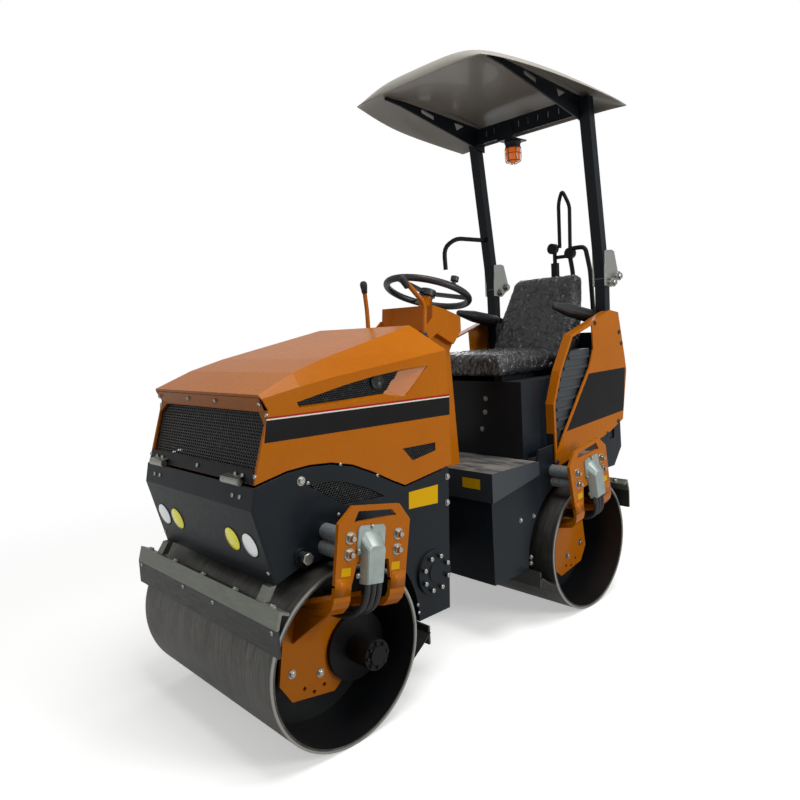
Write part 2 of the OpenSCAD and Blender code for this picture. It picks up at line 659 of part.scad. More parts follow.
// Lower roll bar posts with the plates that the upper posts fold between.
post_x = 313;      // middle of the lower posts, from the rear axle
post_d = 42;       // depth of the tube along the machine
split_z = 1425;    // top of the lower posts
bracket_t = 8;
bracket_y = [post_y - post_w / 2 - 0.3 - bracket_t, post_y + post_w / 2 + 0.3];
fold_x = 382;
fold_bolt_r = 9;
module bracket_outline() polygon([[post_x - post_d / 2 - 3, 1394], [post_x - post_d / 2 - 3, 1552], [346, 1556],
    [368, 1549], [404, fold_z + 2], [398, fold_z - 14], [342, 1388]]);
module rops_lower() color(slate) at_rear() both_sides() {
    translate([post_x - post_d / 2, post_y - post_w / 2, floor_z]) difference() {
        cube([post_d, post_w, split_z - floor_z]);
        translate([5, 5, 5]) cube([post_d - 10, post_w - 10, 1000]);
    }
    for (y = bracket_y) slab(y, y + bracket_t) bracket_outline();
    bar_y(334, 1409, fold_bolt_r, bracket_y[0] - 12, bracket_y[1] + bracket_t + 22);
    bar_y(fold_x, fold_z, fold_bolt_r, bracket_y[0] - 12, bracket_y[1] + bracket_t + 22);
}

// Upper posts with the ears that turn on the fold bolts.
module on_post() translate([post_x, 0, split_z + 6]) rotate([0, -post_lean, 0]) children();
module rops_upper() color(slate) at_rear() both_sides() difference() {
    union() {
        intersection() {
            on_post() translate([-post_d / 2, post_y - post_w / 2, -40]) cube([post_d, post_w, 2000]);
            slab(0, 500) translate([-400, split_z + 6]) square([1200, post_top - split_z - 6]);
        }
        slab(post_y - post_w / 2, post_y + post_w / 2) difference() {
            polygon([[post_x + post_d / 2 - 20, split_z + 30], [fold_x - 4, fold_z - 17], [fold_x + 15, fold_z - 5],
                     [fold_x + 14, fold_z + 12], [post_x + post_d / 2 - 14, split_z + 100]]);
            translate([post_x, split_z - 94]) square([100, 100]);
        }
    }
    on_post() translate([5 - post_d / 2, post_y - post_w / 2 + 5, 120])
        cube([post_d - 10, post_w - 10, 2000]);
    bar_y(fold_x, fold_z, fold_bolt_r + fit, post_y - 60, post_y + 60);
}

// Drilled arms that carry the roof, joined by a slotted channel.
arm_top = [[252, 2216], [110, 2228], [-110, 2246], [-319, 2262], [-412, 2262]];
arm_in = post_y - post_w / 2 - 8;
channel_x = 172;
beacon_y = -92;
beacon_drop = 88;
channel_top = 2206;
beacon_top = channel_top - beacon_drop;
module roof_arms() color(slate) at_rear() {
    both_sides() slab(arm_in, arm_in + 8) difference() {
        polygon(concat(arm_top, [[-412, 2250], [-319, 2238], [channel_x - 8, 2130], [204, 2120], [252, 2110]]));
        polygon([[-196, 2242], [-190, 2230], [-112, 2212], [-104, 2218], [-106, 2230], [-184, 2248]]);
        polygon([[30, 2222], [104, 2218], [46, 2188]]);
        translate([222, 2200]) circle(r = 9, $fn = 24);
    }
    difference() {
        slab(-arm_in - 2, arm_in + 2) polygon([[channel_x, channel_top - 74], [channel_x, channel_top],
            [channel_x + 30, channel_top], [channel_x + 30, channel_top - 6], [channel_x + 6, channel_top - 6],
            [channel_x + 6, channel_top - 74]]);
        for (y = [-206, -160, -14, 39, 94, 150, 206])
            translate([channel_x - 5, y - 4, channel_top - 46]) cube([20, 8, 26]);
    }
    // bracket of the beacon
    slab(beacon_y - 43, beacon_y + 43) polygon([[channel_x - 6, channel_top - 10], [channel_x - 6, beacon_top],
        [channel_x + 110, beacon_top], [channel_x + 110, beacon_top + 6], [channel_x + 2, beacon_top + 6],
        [channel_x + 2, channel_top - 10]]);
}

// Roof sections from front to back: x from the rear axle, half width, edge height, crown.
roof_sections = [[-528, 352, 2219, 40], [-480, 372, 2217, 76], [-250, 440, 2192, 108], [-82, 460, 2178, 116],
    [230, 476, 2156, 100], [296, 470, 2150, 56]];
module roof_form(inset) hull() for (s = roof_sections)
    translate([s[0] + (s[0] < 0 ? inset : -inset), 0, 0]) rotate([90, 0, 90]) linear_extrude(0.1) polygon([
        [-s[1] + inset, s[2] - inset], [-s[1] * 0.9 + inset, s[2] + s[3] * 0.5 - inset],
        [-s[1] * 0.5, s[2] + s[3] - inset], [s[1] * 0.5, s[2] + s[3] - inset],
        [s[1] * 0.9 - inset, s[2] + s[3] * 0.5 - inset], [s[1] - inset, s[2] - inset]]);
module canopy() color("#C9C7C2") at_rear() difference() {
    roof_form(0);
    difference() {
        roof_form(roof_t);
        // ribs that stand on the arms
        both_sides() slab(arm_in - 4, arm_in + 12) difference() {
            translate([-400, 2200]) square([640, 200]);
            polygon(concat([for (p = arm_top) p + [0, 0.2]], [[-412, 2100], [252, 2100]]));
        }
    }
}

module beacon() color("#E07A10") at_rear() translate([channel_x + 56, beacon_y, beacon_top]) mirror([0, 0, 1]) {
    cylinder(r = 40, h = 34);
    translate([0, 0, 34]) cylinder(r1 = 37, r2 = 33, h = 62);
    translate([0, 0, 96]) cylinder(r1 = 33, r2 = 24, h = 10);
}

// Grab rails: a low one on the left, a tall one on the right, a narrow loop behind the seat.
rail_r = 11;
loop_x = rear_cover_x + 14;
module handrails() color(slate) at_rear() {
    ledge = rear_cover_z + 8;
    tube([[loop_x, 216, ledge + 0.7], [loop_x, 200, 1480], [loop_x, 176, 1594], [loop_x, 84, 1594],
          [loop_x, 104, 1480], [loop_x, 112, ledge + 0.5]], rail_r, 26, [1, 0, 0]);
    translate([loop_x, 4, 0]) {
        translate([-12, -16, ledge]) cube([24, 32, 350]);
        translate([0, 0, ledge + 349]) cylinder(r = 10, h = 90);
        for (p = [[-10, 1604], [88, 1572]]) translate([-13, p.x, p.y]) rotate([0, 90, 0]) cylinder(r = 26, h = 26);
        tube([[0, 30, 1604], [0, 30, 1820], [0, 52, 1880], [0, 92, 1800], [0, 88, 1560], [0, 10, 1560]],
            9, 24, [1, 0, 0]);
    }
}

// Hooked grab handle on the right post.
module grab_handle() color(slate) at_rear()
    tube([[post_x - post_d / 2 - (1680 - split_z - 6) * tan(post_lean) - 2, -post_y, 1680], [40, -post_y, 1680],
          [-50, -post_y, 1630], [-45, -post_y, 1525]], rail_r, 44, [0, 1, 0]);

// Steering cylinder between the two frames: the base pin is part of the barrel's eye.
barrel_end = 270;
rod_r = 14;
module at_cylinder() translate([pivot_x - base_eye, cylinder_y, cylinder_z]) children();
module cylinder_barrel() color(black) at_cylinder() difference() {
    union() {
        translate([0, 0, -eye_h / 2]) cylinder(r = eye_r, h = eye_h);
        translate([0, 0, -eye_h / 2 - 22]) cylinder(r = base_pin_r, h = eye_h + 44);
        translate([12, 0, 0]) rotate([0, 90, 0]) cylinder(r = 18, h = 60);
        translate([42, 0, 0]) rotate([0, 90, 0]) cylinder(r = 24, h = barrel_end - 42);
    }
    translate([60, 0, 0]) rotate([0, 90, 0]) cylinder(r = rod_r + fit, h = 400);
}
module cylinder_rod() color(steel) at_cylinder() {
    translate([145, 0, 0]) rotate([0, 90, 0]) cylinder(r = rod_r, h = base_eye + rod_eye - 145 - 18);
    translate([base_eye + rod_eye, 0, -eye_h / 2]) cylinder(r = eye_r, h = eye_h);
    translate([base_eye + rod_eye, 0, -eye_h / 2 - eye_gap + lug_gap])
        cylinder(r = 12, h = eye_h + 2 * eye_gap - 2 * lug_gap);
}

front_frame();
front_panel();
headlamps();
side_grilles();
frame_covers();
engine();
radiator();
yokes_front();
bearings_front();
motor_front();
hoses_front();
scrapers_front();
pivot_pin();
drum_front();
hood();
hood_grille();
hood_vents();
rear_frame();
floor_plate();
seat_box();
seat_cushion();
seat_back();
armrests();
side_guards();
water_tank();
rear_cover();
console();
control_levers();
rops_lower();
handrails();
yokes_rear();
bearings_rear();
motor_rear();
hoses_rear();
scrapers_rear();
drum_rear();
rops_upper();
grab_handle();
roof_arms();
canopy();
beacon();
steering_wheel();
cylinder_barrel();
cylinder_rod();
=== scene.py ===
import math
import random
import bmesh
import bpy
from mathutils import Matrix, Vector, noise
from mathutils.bvhtree import BVHTree


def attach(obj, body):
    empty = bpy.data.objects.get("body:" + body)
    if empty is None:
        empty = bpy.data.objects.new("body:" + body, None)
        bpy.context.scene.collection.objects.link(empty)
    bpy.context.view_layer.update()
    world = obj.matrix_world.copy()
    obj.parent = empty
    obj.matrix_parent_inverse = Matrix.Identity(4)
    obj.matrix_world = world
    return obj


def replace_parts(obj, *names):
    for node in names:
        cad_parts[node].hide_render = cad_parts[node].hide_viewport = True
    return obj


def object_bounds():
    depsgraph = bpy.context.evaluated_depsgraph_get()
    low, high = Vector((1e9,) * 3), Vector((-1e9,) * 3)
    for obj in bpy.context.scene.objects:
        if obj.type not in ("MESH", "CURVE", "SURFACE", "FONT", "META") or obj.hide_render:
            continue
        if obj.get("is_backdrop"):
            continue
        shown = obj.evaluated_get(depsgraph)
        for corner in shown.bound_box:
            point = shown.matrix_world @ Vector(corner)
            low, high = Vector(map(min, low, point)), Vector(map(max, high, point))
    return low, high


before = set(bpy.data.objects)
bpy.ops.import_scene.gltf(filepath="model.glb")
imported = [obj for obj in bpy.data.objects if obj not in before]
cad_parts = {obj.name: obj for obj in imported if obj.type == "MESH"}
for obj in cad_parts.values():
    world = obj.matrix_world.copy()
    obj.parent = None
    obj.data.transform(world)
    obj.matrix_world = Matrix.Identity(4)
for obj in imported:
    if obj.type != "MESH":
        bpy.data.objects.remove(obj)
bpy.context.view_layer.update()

# CAMERA
# Stands off the left front corner of the machine, at a standing person's chest.
# The shift is nought.
scene = bpy.context.scene
camera = bpy.data.objects.new("camera", bpy.data.cameras.new("camera"))
scene.collection.objects.link(camera)
camera.data.sensor_width = 36
camera.data.lens = 30.683
camera.data.clip_end = 100
right = Vector((-0.72788, 0.68344, -0.05574))
up = Vector((-0.11210, -0.03840, 0.99296))
back = right.cross(up).normalized()
up = back.cross(right).normalized()
camera.matrix_world = Matrix.Translation((1.9427, 1.9826, 1.2542)) @ Matrix(
    (right, up, back)).transposed().to_4x4()
scene.camera = camera


# STUDIO
# A pale floor that runs out into a white background, a large soft lamp above
# and two softer ones that fill the front and the side that the camera sees.
def linear(code):
    """Turns an sRGB hex colour to linear values."""
    parts = [int(code[i:i + 2], 16) / 255 for i in (1, 3, 5)]
    return tuple(c / 12.92 if c < 0.04045 else ((c + 0.055) / 1.055) ** 2.4 for c in parts) + (1,)


def add(tree, kind, inputs=None, **settings):
    """Adds a node with its settings, and links or sets its inputs."""
    made = tree.nodes.new(kind)
    for name, value in settings.items():
        setattr(made, name, value)
    for name, value in (inputs or {}).items():
        if isinstance(value, bpy.types.NodeSocket):
            tree.links.new(value, made.inputs[name])
        else:
            made.inputs[name].default_value = value
    return made


def blank(name):
    """A new material with an empty node tree."""
    made = bpy.data.materials.new(name)
    made.use_nodes = True
    made.node_tree.nodes.clear()
    return made, made.node_tree


def shade(tree, inputs):
    """Closes a node tree with one shader of the surface."""
    shader = add(tree, "ShaderNodeBsdfPrincipled", inputs)
    add(tree, "ShaderNodeOutputMaterial", {"Surface": shader.outputs[0]})
    return shader


scene.view_settings.view_transform = "Standard"
world = bpy.data.worlds.new("studio")
scene.world = world
world.use_nodes = True
tree = world.node_tree
tree.nodes.clear()
path = add(tree, "ShaderNodeLightPath")
through = add(tree, "ShaderNodeMath", {0: path.outputs["Is Camera Ray"], 1: path.outputs["Is Transmission Ray"]},
              operation="MAXIMUM")
mirrored = add(tree, "ShaderNodeMath", {0: path.outputs["Is Glossy Ray"], 1: 0.42}, operation="MULTIPLY")
seen = add(tree, "ShaderNodeMath", {0: through.outputs[0], 1: mirrored.outputs[0]}, operation="MAXIMUM")
strength = add(tree, "ShaderNodeMapRange", {0: seen.outputs[0], 3: 0.22, 4: 1.0})
shine = add(tree, "ShaderNodeBackground", {"Color": (1, 1, 1, 1), "Strength": strength.outputs[0]})
add(tree, "ShaderNodeOutputWorld", {"Surface": shine.outputs[0]})

floor_mat, tree = blank("studio floor, white paper")
place = add(tree, "ShaderNodeNewGeometry")
reach = add(tree, "ShaderNodeVectorMath", {0: place.outputs["Position"]}, operation="LENGTH")
fade = add(tree, "ShaderNodeMapRange", {0: reach.outputs["Value"], 1: 1.4, 2: 3.6}, interpolation_type="SMOOTHSTEP")
path = add(tree, "ShaderNodeLightPath")
through = add(tree, "ShaderNodeMath", {0: path.outputs["Is Camera Ray"], 1: path.outputs["Is Transmission Ray"]},
              operation="MAXIMUM")
mirrored = add(tree, "ShaderNodeMath", {0: path.outputs["Is Glossy Ray"], 1: 0.42}, operation="MULTIPLY")
seen = add(tree, "ShaderNodeMath", {0: through.outputs[0], 1: mirrored.outputs[0]}, operation="MAXIMUM")
far = add(tree, "ShaderNodeMath", {0: fade.outputs[0], 1: seen.outputs[0]}, operation="MULTIPLY")
tone = add(tree, "ShaderNodeMix", {0: seen.outputs[0], 6: linear("#A8A8A6"), 7: linear("#F4F4F2")}, data_type="RGBA")
diffuse = add(tree, "ShaderNodeBsdfDiffuse", {"Color": tone.outputs[2]})
lift = add(tree, "ShaderNodeMath", {0: seen.outputs[0], 1: 0.42}, operation="MULTIPLY")
haze = add(tree, "ShaderNodeEmission", {"Color": (1, 1, 1, 1), "Strength": lift.outputs[0]})
paper = add(tree, "ShaderNodeAddShader", {0: diffuse.outputs[0], 1: haze.outputs[0]})
glow = add(tree, "ShaderNodeEmission", {"Color": (1, 1, 1, 1), "Strength": 1.0})
both = add(tree, "ShaderNodeMixShader", {0: far.outputs[0], 1: paper.outputs[0], 2: glow.outputs[0]})
add(tree, "ShaderNodeOutputMaterial", {"Surface": both.outputs[0]})
mesh = bpy.data.meshes.new("floor")
side = 30
mesh.from_pydata([(-side, -side, 0), (side, -side, 0), (side, side, 0), (-side, side, 0)], [], [(0, 1, 2, 3)])
floor = bpy.data.objects.new("floor", mesh)
mesh.materials.append(floor_mat)
scene.collection.objects.link(floor)
floor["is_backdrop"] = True

for name, at, aim, size, power in (
        ("lamp_above", (0.2, 1.2, 4.6), (0, 0, 0.8), 2.6, 125),
        ("lamp_side", (-1.2, 4.6, 2.4), (0, 0, 0.9), 1.8, 105),
        ("lamp_front", (4.8, -0.6, 2.2), (0, 0, 0.9), 2.4, 18),
        ("lamp_behind", (-4.2, -2.6, 2.6), (0, 0, 1.0), 2.6, 40)):
    lamp = bpy.data.objects.new(name, bpy.data.lights.new(name, "AREA"))
    lamp.data.size = size
    lamp.data.energy = power
    lamp.location = at
    lamp.rotation_euler = (Vector(aim) - Vector(at)).to_track_quat("-Z", "Y").to_euler()
    scene.collection.objects.link(lamp)


# PAINTED PLATE
# Frames, posts, floor and covers are welded mild steel plate under dark slate enamel.
# The spray leaves orange peel of about 2 mm, thin dust lies on level faces.
def millimetres(size):
    """Scale of a pattern from its real size in millimetres."""
    return 1000 / size


def enamel(name, deep, light, dust, gloss, peel=0.25, coat=0.0, lies=0.26, mirror=0.16):
    """Sprayed enamel: two shades that drift, dust on what faces up, peel of 2 mm and edges dressed round."""
    mat, tree = blank(name)
    place = add(tree, "ShaderNodeTexCoord")
    drift = add(tree, "ShaderNodeTexNoise", {"Vector": place.outputs["Object"], "Scale": millimetres(260),
                "Detail": 5.0, "Roughness": 0.6})
    shades = add(tree, "ShaderNodeMix", {0: drift.outputs[0], 6: linear(deep), 7: linear(light)}, data_type="RGBA")
    faces = add(tree, "ShaderNodeNewGeometry")
    level = add(tree, "ShaderNodeSeparateXYZ", {0: faces.outputs["Normal"]})
    specks = add(tree, "ShaderNodeTexNoise", {"Vector": place.outputs["Object"], "Scale": millimetres(22),
                 "Detail": 8.0, "Roughness": 0.75})
    lying = add(tree, "ShaderNodeMapRange", {0: level.outputs[2], 1: 0.2, 2: 1.0, 3: 0.02, 4: lies})
    cover = add(tree, "ShaderNodeMath", {0: lying.outputs[0], 1: specks.outputs[0]}, operation="MULTIPLY")
    dusty = add(tree, "ShaderNodeMix", {0: cover.outputs[0], 6: shades.outputs[2], 7: linear(dust)},
                data_type="RGBA")
    sheen = add(tree, "ShaderNodeMapRange", {0: specks.outputs[0], 1: 0.3, 2: 0.7, 3: gloss - 0.05, 4: gloss + 0.09})
    pips = add(tree, "ShaderNodeTexNoise", {"Vector": place.outputs["Object"], "Scale": millimetres(2.2),
               "Detail": 2.0})
    corner = add(tree, "ShaderNodeBevel", {"Radius": 0.0018}, samples=4)
    skin = add(tree, "ShaderNodeBump", {"Height": pips.outputs[0], "Strength": peel, "Distance": 0.0003,
               "Normal": corner.outputs[0]})
    shade(tree, {"Base Color": dusty.outputs[2], "Roughness": sheen.outputs[0], "Normal": skin.outputs[0],
                 "Specular IOR Level": mirror, "Coat Weight": coat, "Coat Roughness": 0.06})
    return mat


slate_enamel = enamel("slate enamel on welded plate", "#11161B", "#1B2229", "#77756E", 0.32)
black_enamel = enamel("satin black enamel", "#08090A", "#111214", "#66655F", 0.38)
orange_gloss = enamel("orange two-pack gloss paint", "#AA5A00", "#BB6B06", "#B98A4E", 0.26, 0.3, 0.12, 0.03, 0.08)


def dress(mat, *nodes):
    """Gives CAD nodes one finish."""
    for name in nodes:
        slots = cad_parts[name].data.materials
        if len(slots):
            for i in range(len(slots)):
                slots[i] = mat
        else:
            slots.append(mat)


dress(slate_enamel, "front_frame", "front_panel", "frame_covers", "rear_frame", "seat_box", "rear_cover",
      "rops_lower", "rops_upper", "roof_arms", "scrapers_front", "scrapers_rear")
dress(black_enamel, "motor_front", "motor_rear", "cylinder_barrel", "handrails", "grab_handle")
dress(orange_gloss, "hood", "yokes_front", "yokes_rear", "console", "control_levers", "side_guards")

# The bright zinc stand-offs of the drum carriers are pressed through the plates, not sprayed.
carrier_paint = orange_gloss.copy()
carrier_paint.name = "orange gloss paint with zinc plated stand-offs"
tree = carrier_paint.node_tree
surface = next(n for n in tree.nodes if n.type == "BSDF_PRINCIPLED")
painted = surface.inputs["Base Color"].links[0].from_socket
place = add(tree, "ShaderNodeTexCoord")
spots = add(tree, "ShaderNodeSeparateXYZ", {0: place.outputs["Object"]})
outward = add(tree, "ShaderNodeMath", {0: spots.outputs[1]}, operation="ABSOLUTE")
inside = add(tree, "ShaderNodeMath", {0: outward.outputs[0], 1: 0.4565}, operation="LESS_THAN")
high = add(tree, "ShaderNodeMath", {0: spots.outputs[2], 1: 0.565}, operation="GREATER_THAN")
plated = add(tree, "ShaderNodeMath", {0: inside.outputs[0], 1: high.outputs[0]}, operation="MULTIPLY")
colour = add(tree, "ShaderNodeMix", {0: plated.outputs[0], 6: painted, 7: linear("#8C9294")}, data_type="RGBA")
sheen = add(tree, "ShaderNodeMath", {0: plated.outputs[0], 1: 0.35}, operation="MULTIPLY")
tree.links.new(colour.outputs[2], surface.inputs["Base Color"])
tree.links.new(sheen.outputs[0], surface.inputs["Metallic"])
dress(carrier_paint, "yokes_front", "yokes_rear")

# FLOOR PLATE
# The rider's floor is the same plate, but boots have worn its paint to grey metal.
# The wear is streaked across the machine, and grit is left in the low spots.
worn_floor, tree = blank("worn enamel on the floor plate")
place = add(tree, "ShaderNodeTexCoord")
streaks = add(tree, "ShaderNodeMapping", {"Vector": place.outputs["Object"], "Scale": (1.0, 0.25, 1.0)})
rubbed = add(tree, "ShaderNodeTexNoise", {"Vector": streaks.outputs[0], "Scale": millimetres(45), "Detail": 9.0,
             "Roughness": 0.72})
grit = add(tree, "ShaderNodeTexNoise", {"Vector": place.outputs["Object"], "Scale": millimetres(5), "Detail": 6.0,
           "Roughness": 0.8})
faces = add(tree, "ShaderNodeNewGeometry")
level = add(tree, "ShaderNodeSeparateXYZ", {0: faces.outputs["Normal"]})
tread = add(tree, "ShaderNodeMapRange", {0: level.outputs[2], 1: 0.7, 2: 1.0})
wear_and_highlight = add(tree, "ShaderNodeMapRange", {0: rubbed.outputs[0], 1: 0.38, 2: 0.62})
bare = add(tree, "ShaderNodeMath", {0: wear_and_highlight.outputs[0], 1: tread.outputs[0]}, operation="MULTIPLY")
metal = add(tree, "ShaderNodeMix", {0: grit.outputs[0], 6: linear("#6E6C66"), 7: linear("#A09D95")}, data_type="RGBA")
colour = add(tree, "ShaderNodeMix", {0: bare.outputs[0], 6: linear("#2A3036"), 7: metal.outputs[2]},
             data_type="RGBA")
rough = add(tree, "ShaderNodeMapRange", {0: grit.outputs[0], 3: 0.34, 4: 0.62})
skin = add(tree, "ShaderNodeBump", {"Height": grit.outputs[0], "Strength": 0.4, "Distance": 0.0008})
shade(tree, {"Base Color": colour.outputs[2], "Roughness": rough.outputs[0], "Metallic": 0.0,
             "Normal": skin.outputs[0]})
dress(worn_floor, "floor_plate")


# DRUMS
# Each drum is rolled from 14 mm plate and turned. Gravel keeps the outside bare and scored
# round the drum, the inside keeps its black primer with rust, and a painted highlight of light grey lies on the rims.
drum_steel, tree = blank("bare rolled steel, scored by gravel")
place = add(tree, "ShaderNodeTexCoord")
spots = add(tree, "ShaderNodeSeparateXYZ", {0: place.outputs["Object"]})
front_axle, rear_axle, axle_z = 0.750, -0.590, 0.280
rim_y, rim_r = 0.411, 0.2725
half = add(tree, "ShaderNodeMath", {0: spots.outputs[0], 1: 0.08}, operation="GREATER_THAN")
middle = add(tree, "ShaderNodeMapRange", {0: half.outputs[0], 3: rear_axle, 4: front_axle})
across = add(tree, "ShaderNodeMath", {0: spots.outputs[0], 1: middle.outputs[0]}, operation="SUBTRACT")
over = add(tree, "ShaderNodeMath", {0: spots.outputs[2], 1: axle_z}, operation="SUBTRACT")
flat = add(tree, "ShaderNodeCombineXYZ", {0: across.outputs[0], 2: over.outputs[0]})
radius = add(tree, "ShaderNodeVectorMath", {0: flat.outputs[0]}, operation="LENGTH")
turned = add(tree, "ShaderNodeMath", {0: over.outputs[0], 1: across.outputs[0]}, operation="ARCTAN2")
round_it = add(tree, "ShaderNodeCombineXYZ", {0: turned.outputs[0], 1: spots.outputs[1], 2: radius.outputs["Value"]})
rolled = add(tree, "ShaderNodeMapping", {"Vector": round_it.outputs[0], "Scale": (0.45, 55.0, 3.0)})
score = add(tree, "ShaderNodeTexNoise", {"Vector": rolled.outputs[0], "Scale": 4.0, "Detail": 10.0,
            "Roughness": 0.8})
blotch = add(tree, "ShaderNodeTexNoise", {"Vector": place.outputs["Object"], "Scale": millimetres(140),
             "Detail": 7.0, "Roughness": 0.7})
scored = add(tree, "ShaderNodeMapRange", {0: score.outputs[0], 1: 0.3, 2: 0.7})
bare = add(tree, "ShaderNodeMix", {0: scored.outputs[0], 6: linear("#1C1C1B"), 7: linear("#7F7E7A")},
           data_type="RGBA")
stain = add(tree, "ShaderNodeMapRange", {0: blotch.outputs[0], 1: 0.45, 2: 0.75, 4: 0.75})
face = add(tree, "ShaderNodeMix", {0: stain.outputs[0], 6: bare.outputs[2], 7: linear("#3A342D")}, data_type="RGBA")
primer = add(tree, "ShaderNodeMix", {0: stain.outputs[0], 6: linear("#0B0E12"), 7: linear("#171615")},
             data_type="RGBA")
outside = add(tree, "ShaderNodeMath", {0: radius.outputs["Value"], 1: 0.2665}, operation="GREATER_THAN")
# Painted highlight: the rim faces and the outer band at the drum's ends are painted light grey.
side = add(tree, "ShaderNodeMath", {0: spots.outputs[1]}, operation="ABSOLUTE")
side = add(tree, "ShaderNodeMath", {0: side.outputs[0], 1: rim_y}, operation="GREATER_THAN")
outer = add(tree, "ShaderNodeMath", {0: radius.outputs["Value"], 1: rim_r}, operation="GREATER_THAN")
rim = add(tree, "ShaderNodeMath", {0: side.outputs[0], 1: outer.outputs[0]}, operation="MULTIPLY")
wear_and_highlight = add(tree, "ShaderNodeMix", {0: rim.outputs[0], 6: face.outputs[2], 7: linear("#9A9893")}, data_type="RGBA")
colour = add(tree, "ShaderNodeMix", {0: outside.outputs[0], 6: primer.outputs[2], 7: wear_and_highlight.outputs[2]},
             data_type="RGBA")
metallic = add(tree, "ShaderNodeMapRange", {0: outside.outputs[0], 3: 0.1, 4: 0.75})
rough = add(tree, "ShaderNodeMapRange", {0: score.outputs[0], 1: 0.3, 2: 0.7, 3: 0.34, 4: 0.58})
skin = add(tree, "ShaderNodeBump", {"Height": score.outputs[0], "Strength": 0.35, "Distance": 0.0006})
shade(tree, {"Base Color": colour.outputs[2], "Metallic": metallic.outputs[0], "Roughness": rough.outputs[0],
             "Normal": skin.outputs[0]})
dress(drum_steel, "drum_front", "drum_rear")


# BEARINGS, PINS AND ROD
# Turned steel, left bright, with the fine rings of the lathe tool.
turned_steel, tree = blank("turned bright steel")
place = add(tree, "ShaderNodeTexCoord")
rings = add(tree, "ShaderNodeTexNoise", {"Vector": place.outputs["Object"], "Scale": millimetres(6), "Detail": 6.0,
            "Roughness": 0.7})
rough = add(tree, "ShaderNodeMapRange", {0: rings.outputs[0], 3: 0.22, 4: 0.45})
shade(tree, {"Base Color": linear("#8F9192"), "Metallic": 1.0, "Roughness": rough.outputs[0]})
dress(turned_steel, "pivot_pin", "cylinder_rod")
dress(black_enamel, "bearings_front", "bearings_rear")


# ENGINE AND RADIATOR
# Cast iron block under the hood, with grey paint in the grain of the casting,
# and a black coated core behind the front grille.
cast_iron, tree = blank("painted cast iron")
place = add(tree, "ShaderNodeTexCoord")
grain = add(tree, "ShaderNodeTexNoise", {"Vector": place.outputs["Object"], "Scale": millimetres(3), "Detail": 5.0})
skin = add(tree, "ShaderNodeBump", {"Height": grain.outputs[0], "Strength": 0.5, "Distance": 0.001})
shade(tree, {"Base Color": linear("#3B3D3F"), "Roughness": 0.62, "Metallic": 0.2, "Normal": skin.outputs[0]})
dress(cast_iron, "engine")
dress(black_enamel, "radiator")


# ROOF SHELL
# Glass fibre laid up in a mould: pale grey gel coat, glossy outside, with a faint ripple.
gel_coat, tree = blank("pale gel coat on glass fibre")
place = add(tree, "ShaderNodeTexCoord")
cloud = add(tree, "ShaderNodeTexNoise", {"Vector": place.outputs["Object"], "Scale": millimetres(300), "Detail": 4.0})
colour = add(tree, "ShaderNodeMix", {0: cloud.outputs[0], 6: linear("#8F8B82"), 7: linear("#A5A198")},
             data_type="RGBA")
skin = add(tree, "ShaderNodeBump", {"Height": cloud.outputs[0], "Strength": 0.15, "Distance": 0.01})
shade(tree, {"Base Color": colour.outputs[2], "Roughness": 0.32, "Normal": skin.outputs[0], "Coat Weight": 0.2})


def settled(obj):
    """Gives an object the mesh that its modifiers make."""
    mesh = bpy.data.meshes.new_from_object(obj.evaluated_get(bpy.context.evaluated_depsgraph_get()))
    obj.modifiers.clear()
    obj.data = mesh


def piece(name, bm, mats, body, smooth=35):
    """Makes an object of a mesh, rounds its shading and lets it ride on a body."""
    bmesh.ops.recalc_face_normals(bm, faces=bm.faces)
    mesh = bpy.data.meshes.new(name)
    bm.to_mesh(mesh)
    bm.free()
    made = bpy.data.objects.new(name, mesh)
    scene.collection.objects.link(made)
    for mat in mats if isinstance(mats, list) else [mats]:
        mesh.materials.append(mat)
    mesh.shade_smooth()
    if smooth:
        mesh.set_sharp_from_angle(angle=math.radians(smooth))
    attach(made, body)
    return made


# Sections of the roof from front to back: x from the rear axle, half width, edge height, crown.
sections = [(-528, 352, 2219, 3), (-524, 353, 2219, 26), (-508, 360, 2218, 52), (-480, 372, 2217, 74),
            (-400, 400, 2209, 92), (-250, 440, 2192, 107), (-82, 460, 2178, 116), (80, 470, 2167, 111),
            (190, 475, 2159, 102), (252, 474, 2154, 84), (282, 472, 2151, 56), (292, 471, 2150, 30), (296, 470, 2150, 3)]


def roof_height(half, edge, crown, y):
    """The dome's height over a section at y."""
    return edge + crown * (1 - min(1, abs(y) / half) ** 3.8)


bm = bmesh.new()
rows = []
for x, half, edge, crown in sections:
    shares = [math.copysign(abs(t) ** 0.8, t) for t in [i / 11 for i in range(-11, 12)]]
    rows.append([bm.verts.new(Vector((rear_axle - x / 1000, half * t / 1000,
                roof_height(half, edge, crown, half * t) / 1000))) for t in shares])
for low, high in zip(rows, rows[1:]):
    for i in range(len(low) - 1):
        bm.faces.new((low[i], low[i + 1], high[i + 1], high[i]))
roof = piece("roof_shell", bm, gel_coat, "roll_bar", 0)
skin = roof.modifiers.new("skin", "SOLIDIFY")
skin.thickness = 0.006
skin.offset = -1
finer = roof.modifiers.new("finer", "SUBSURF")
finer.levels = finer.render_levels = 2
settled(roof)
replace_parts(roof, "canopy")
bm = bmesh.new()
for side in (1, -1):
    low = [(236, 2217.6), (110, 2228.4), (-110, 2246.4), (-319, 2262.3), (-396, 2262.3)]
    high = [(-396, 2264), (-319, 2268), (-250, 2274), (-82, 2270), (110, 2243), (190, 2232), (236, 2219)]
    rim = [[bm.verts.new(Vector((rear_axle - x / 1000, side * y, z / 1000))) for x, z in low + high]
           for y in (0.281, 0.297)]
    bm.faces.new(rim[0])
    bm.faces.new(rim[1])
    for i in range(len(rim[0])):
        k = (i + 1) % len(rim[0])
        bm.faces.new((rim[0][i], rim[0][k], rim[1][k], rim[1][i]))
piece("roof_ribs", bm, gel_coat, "roll_bar")


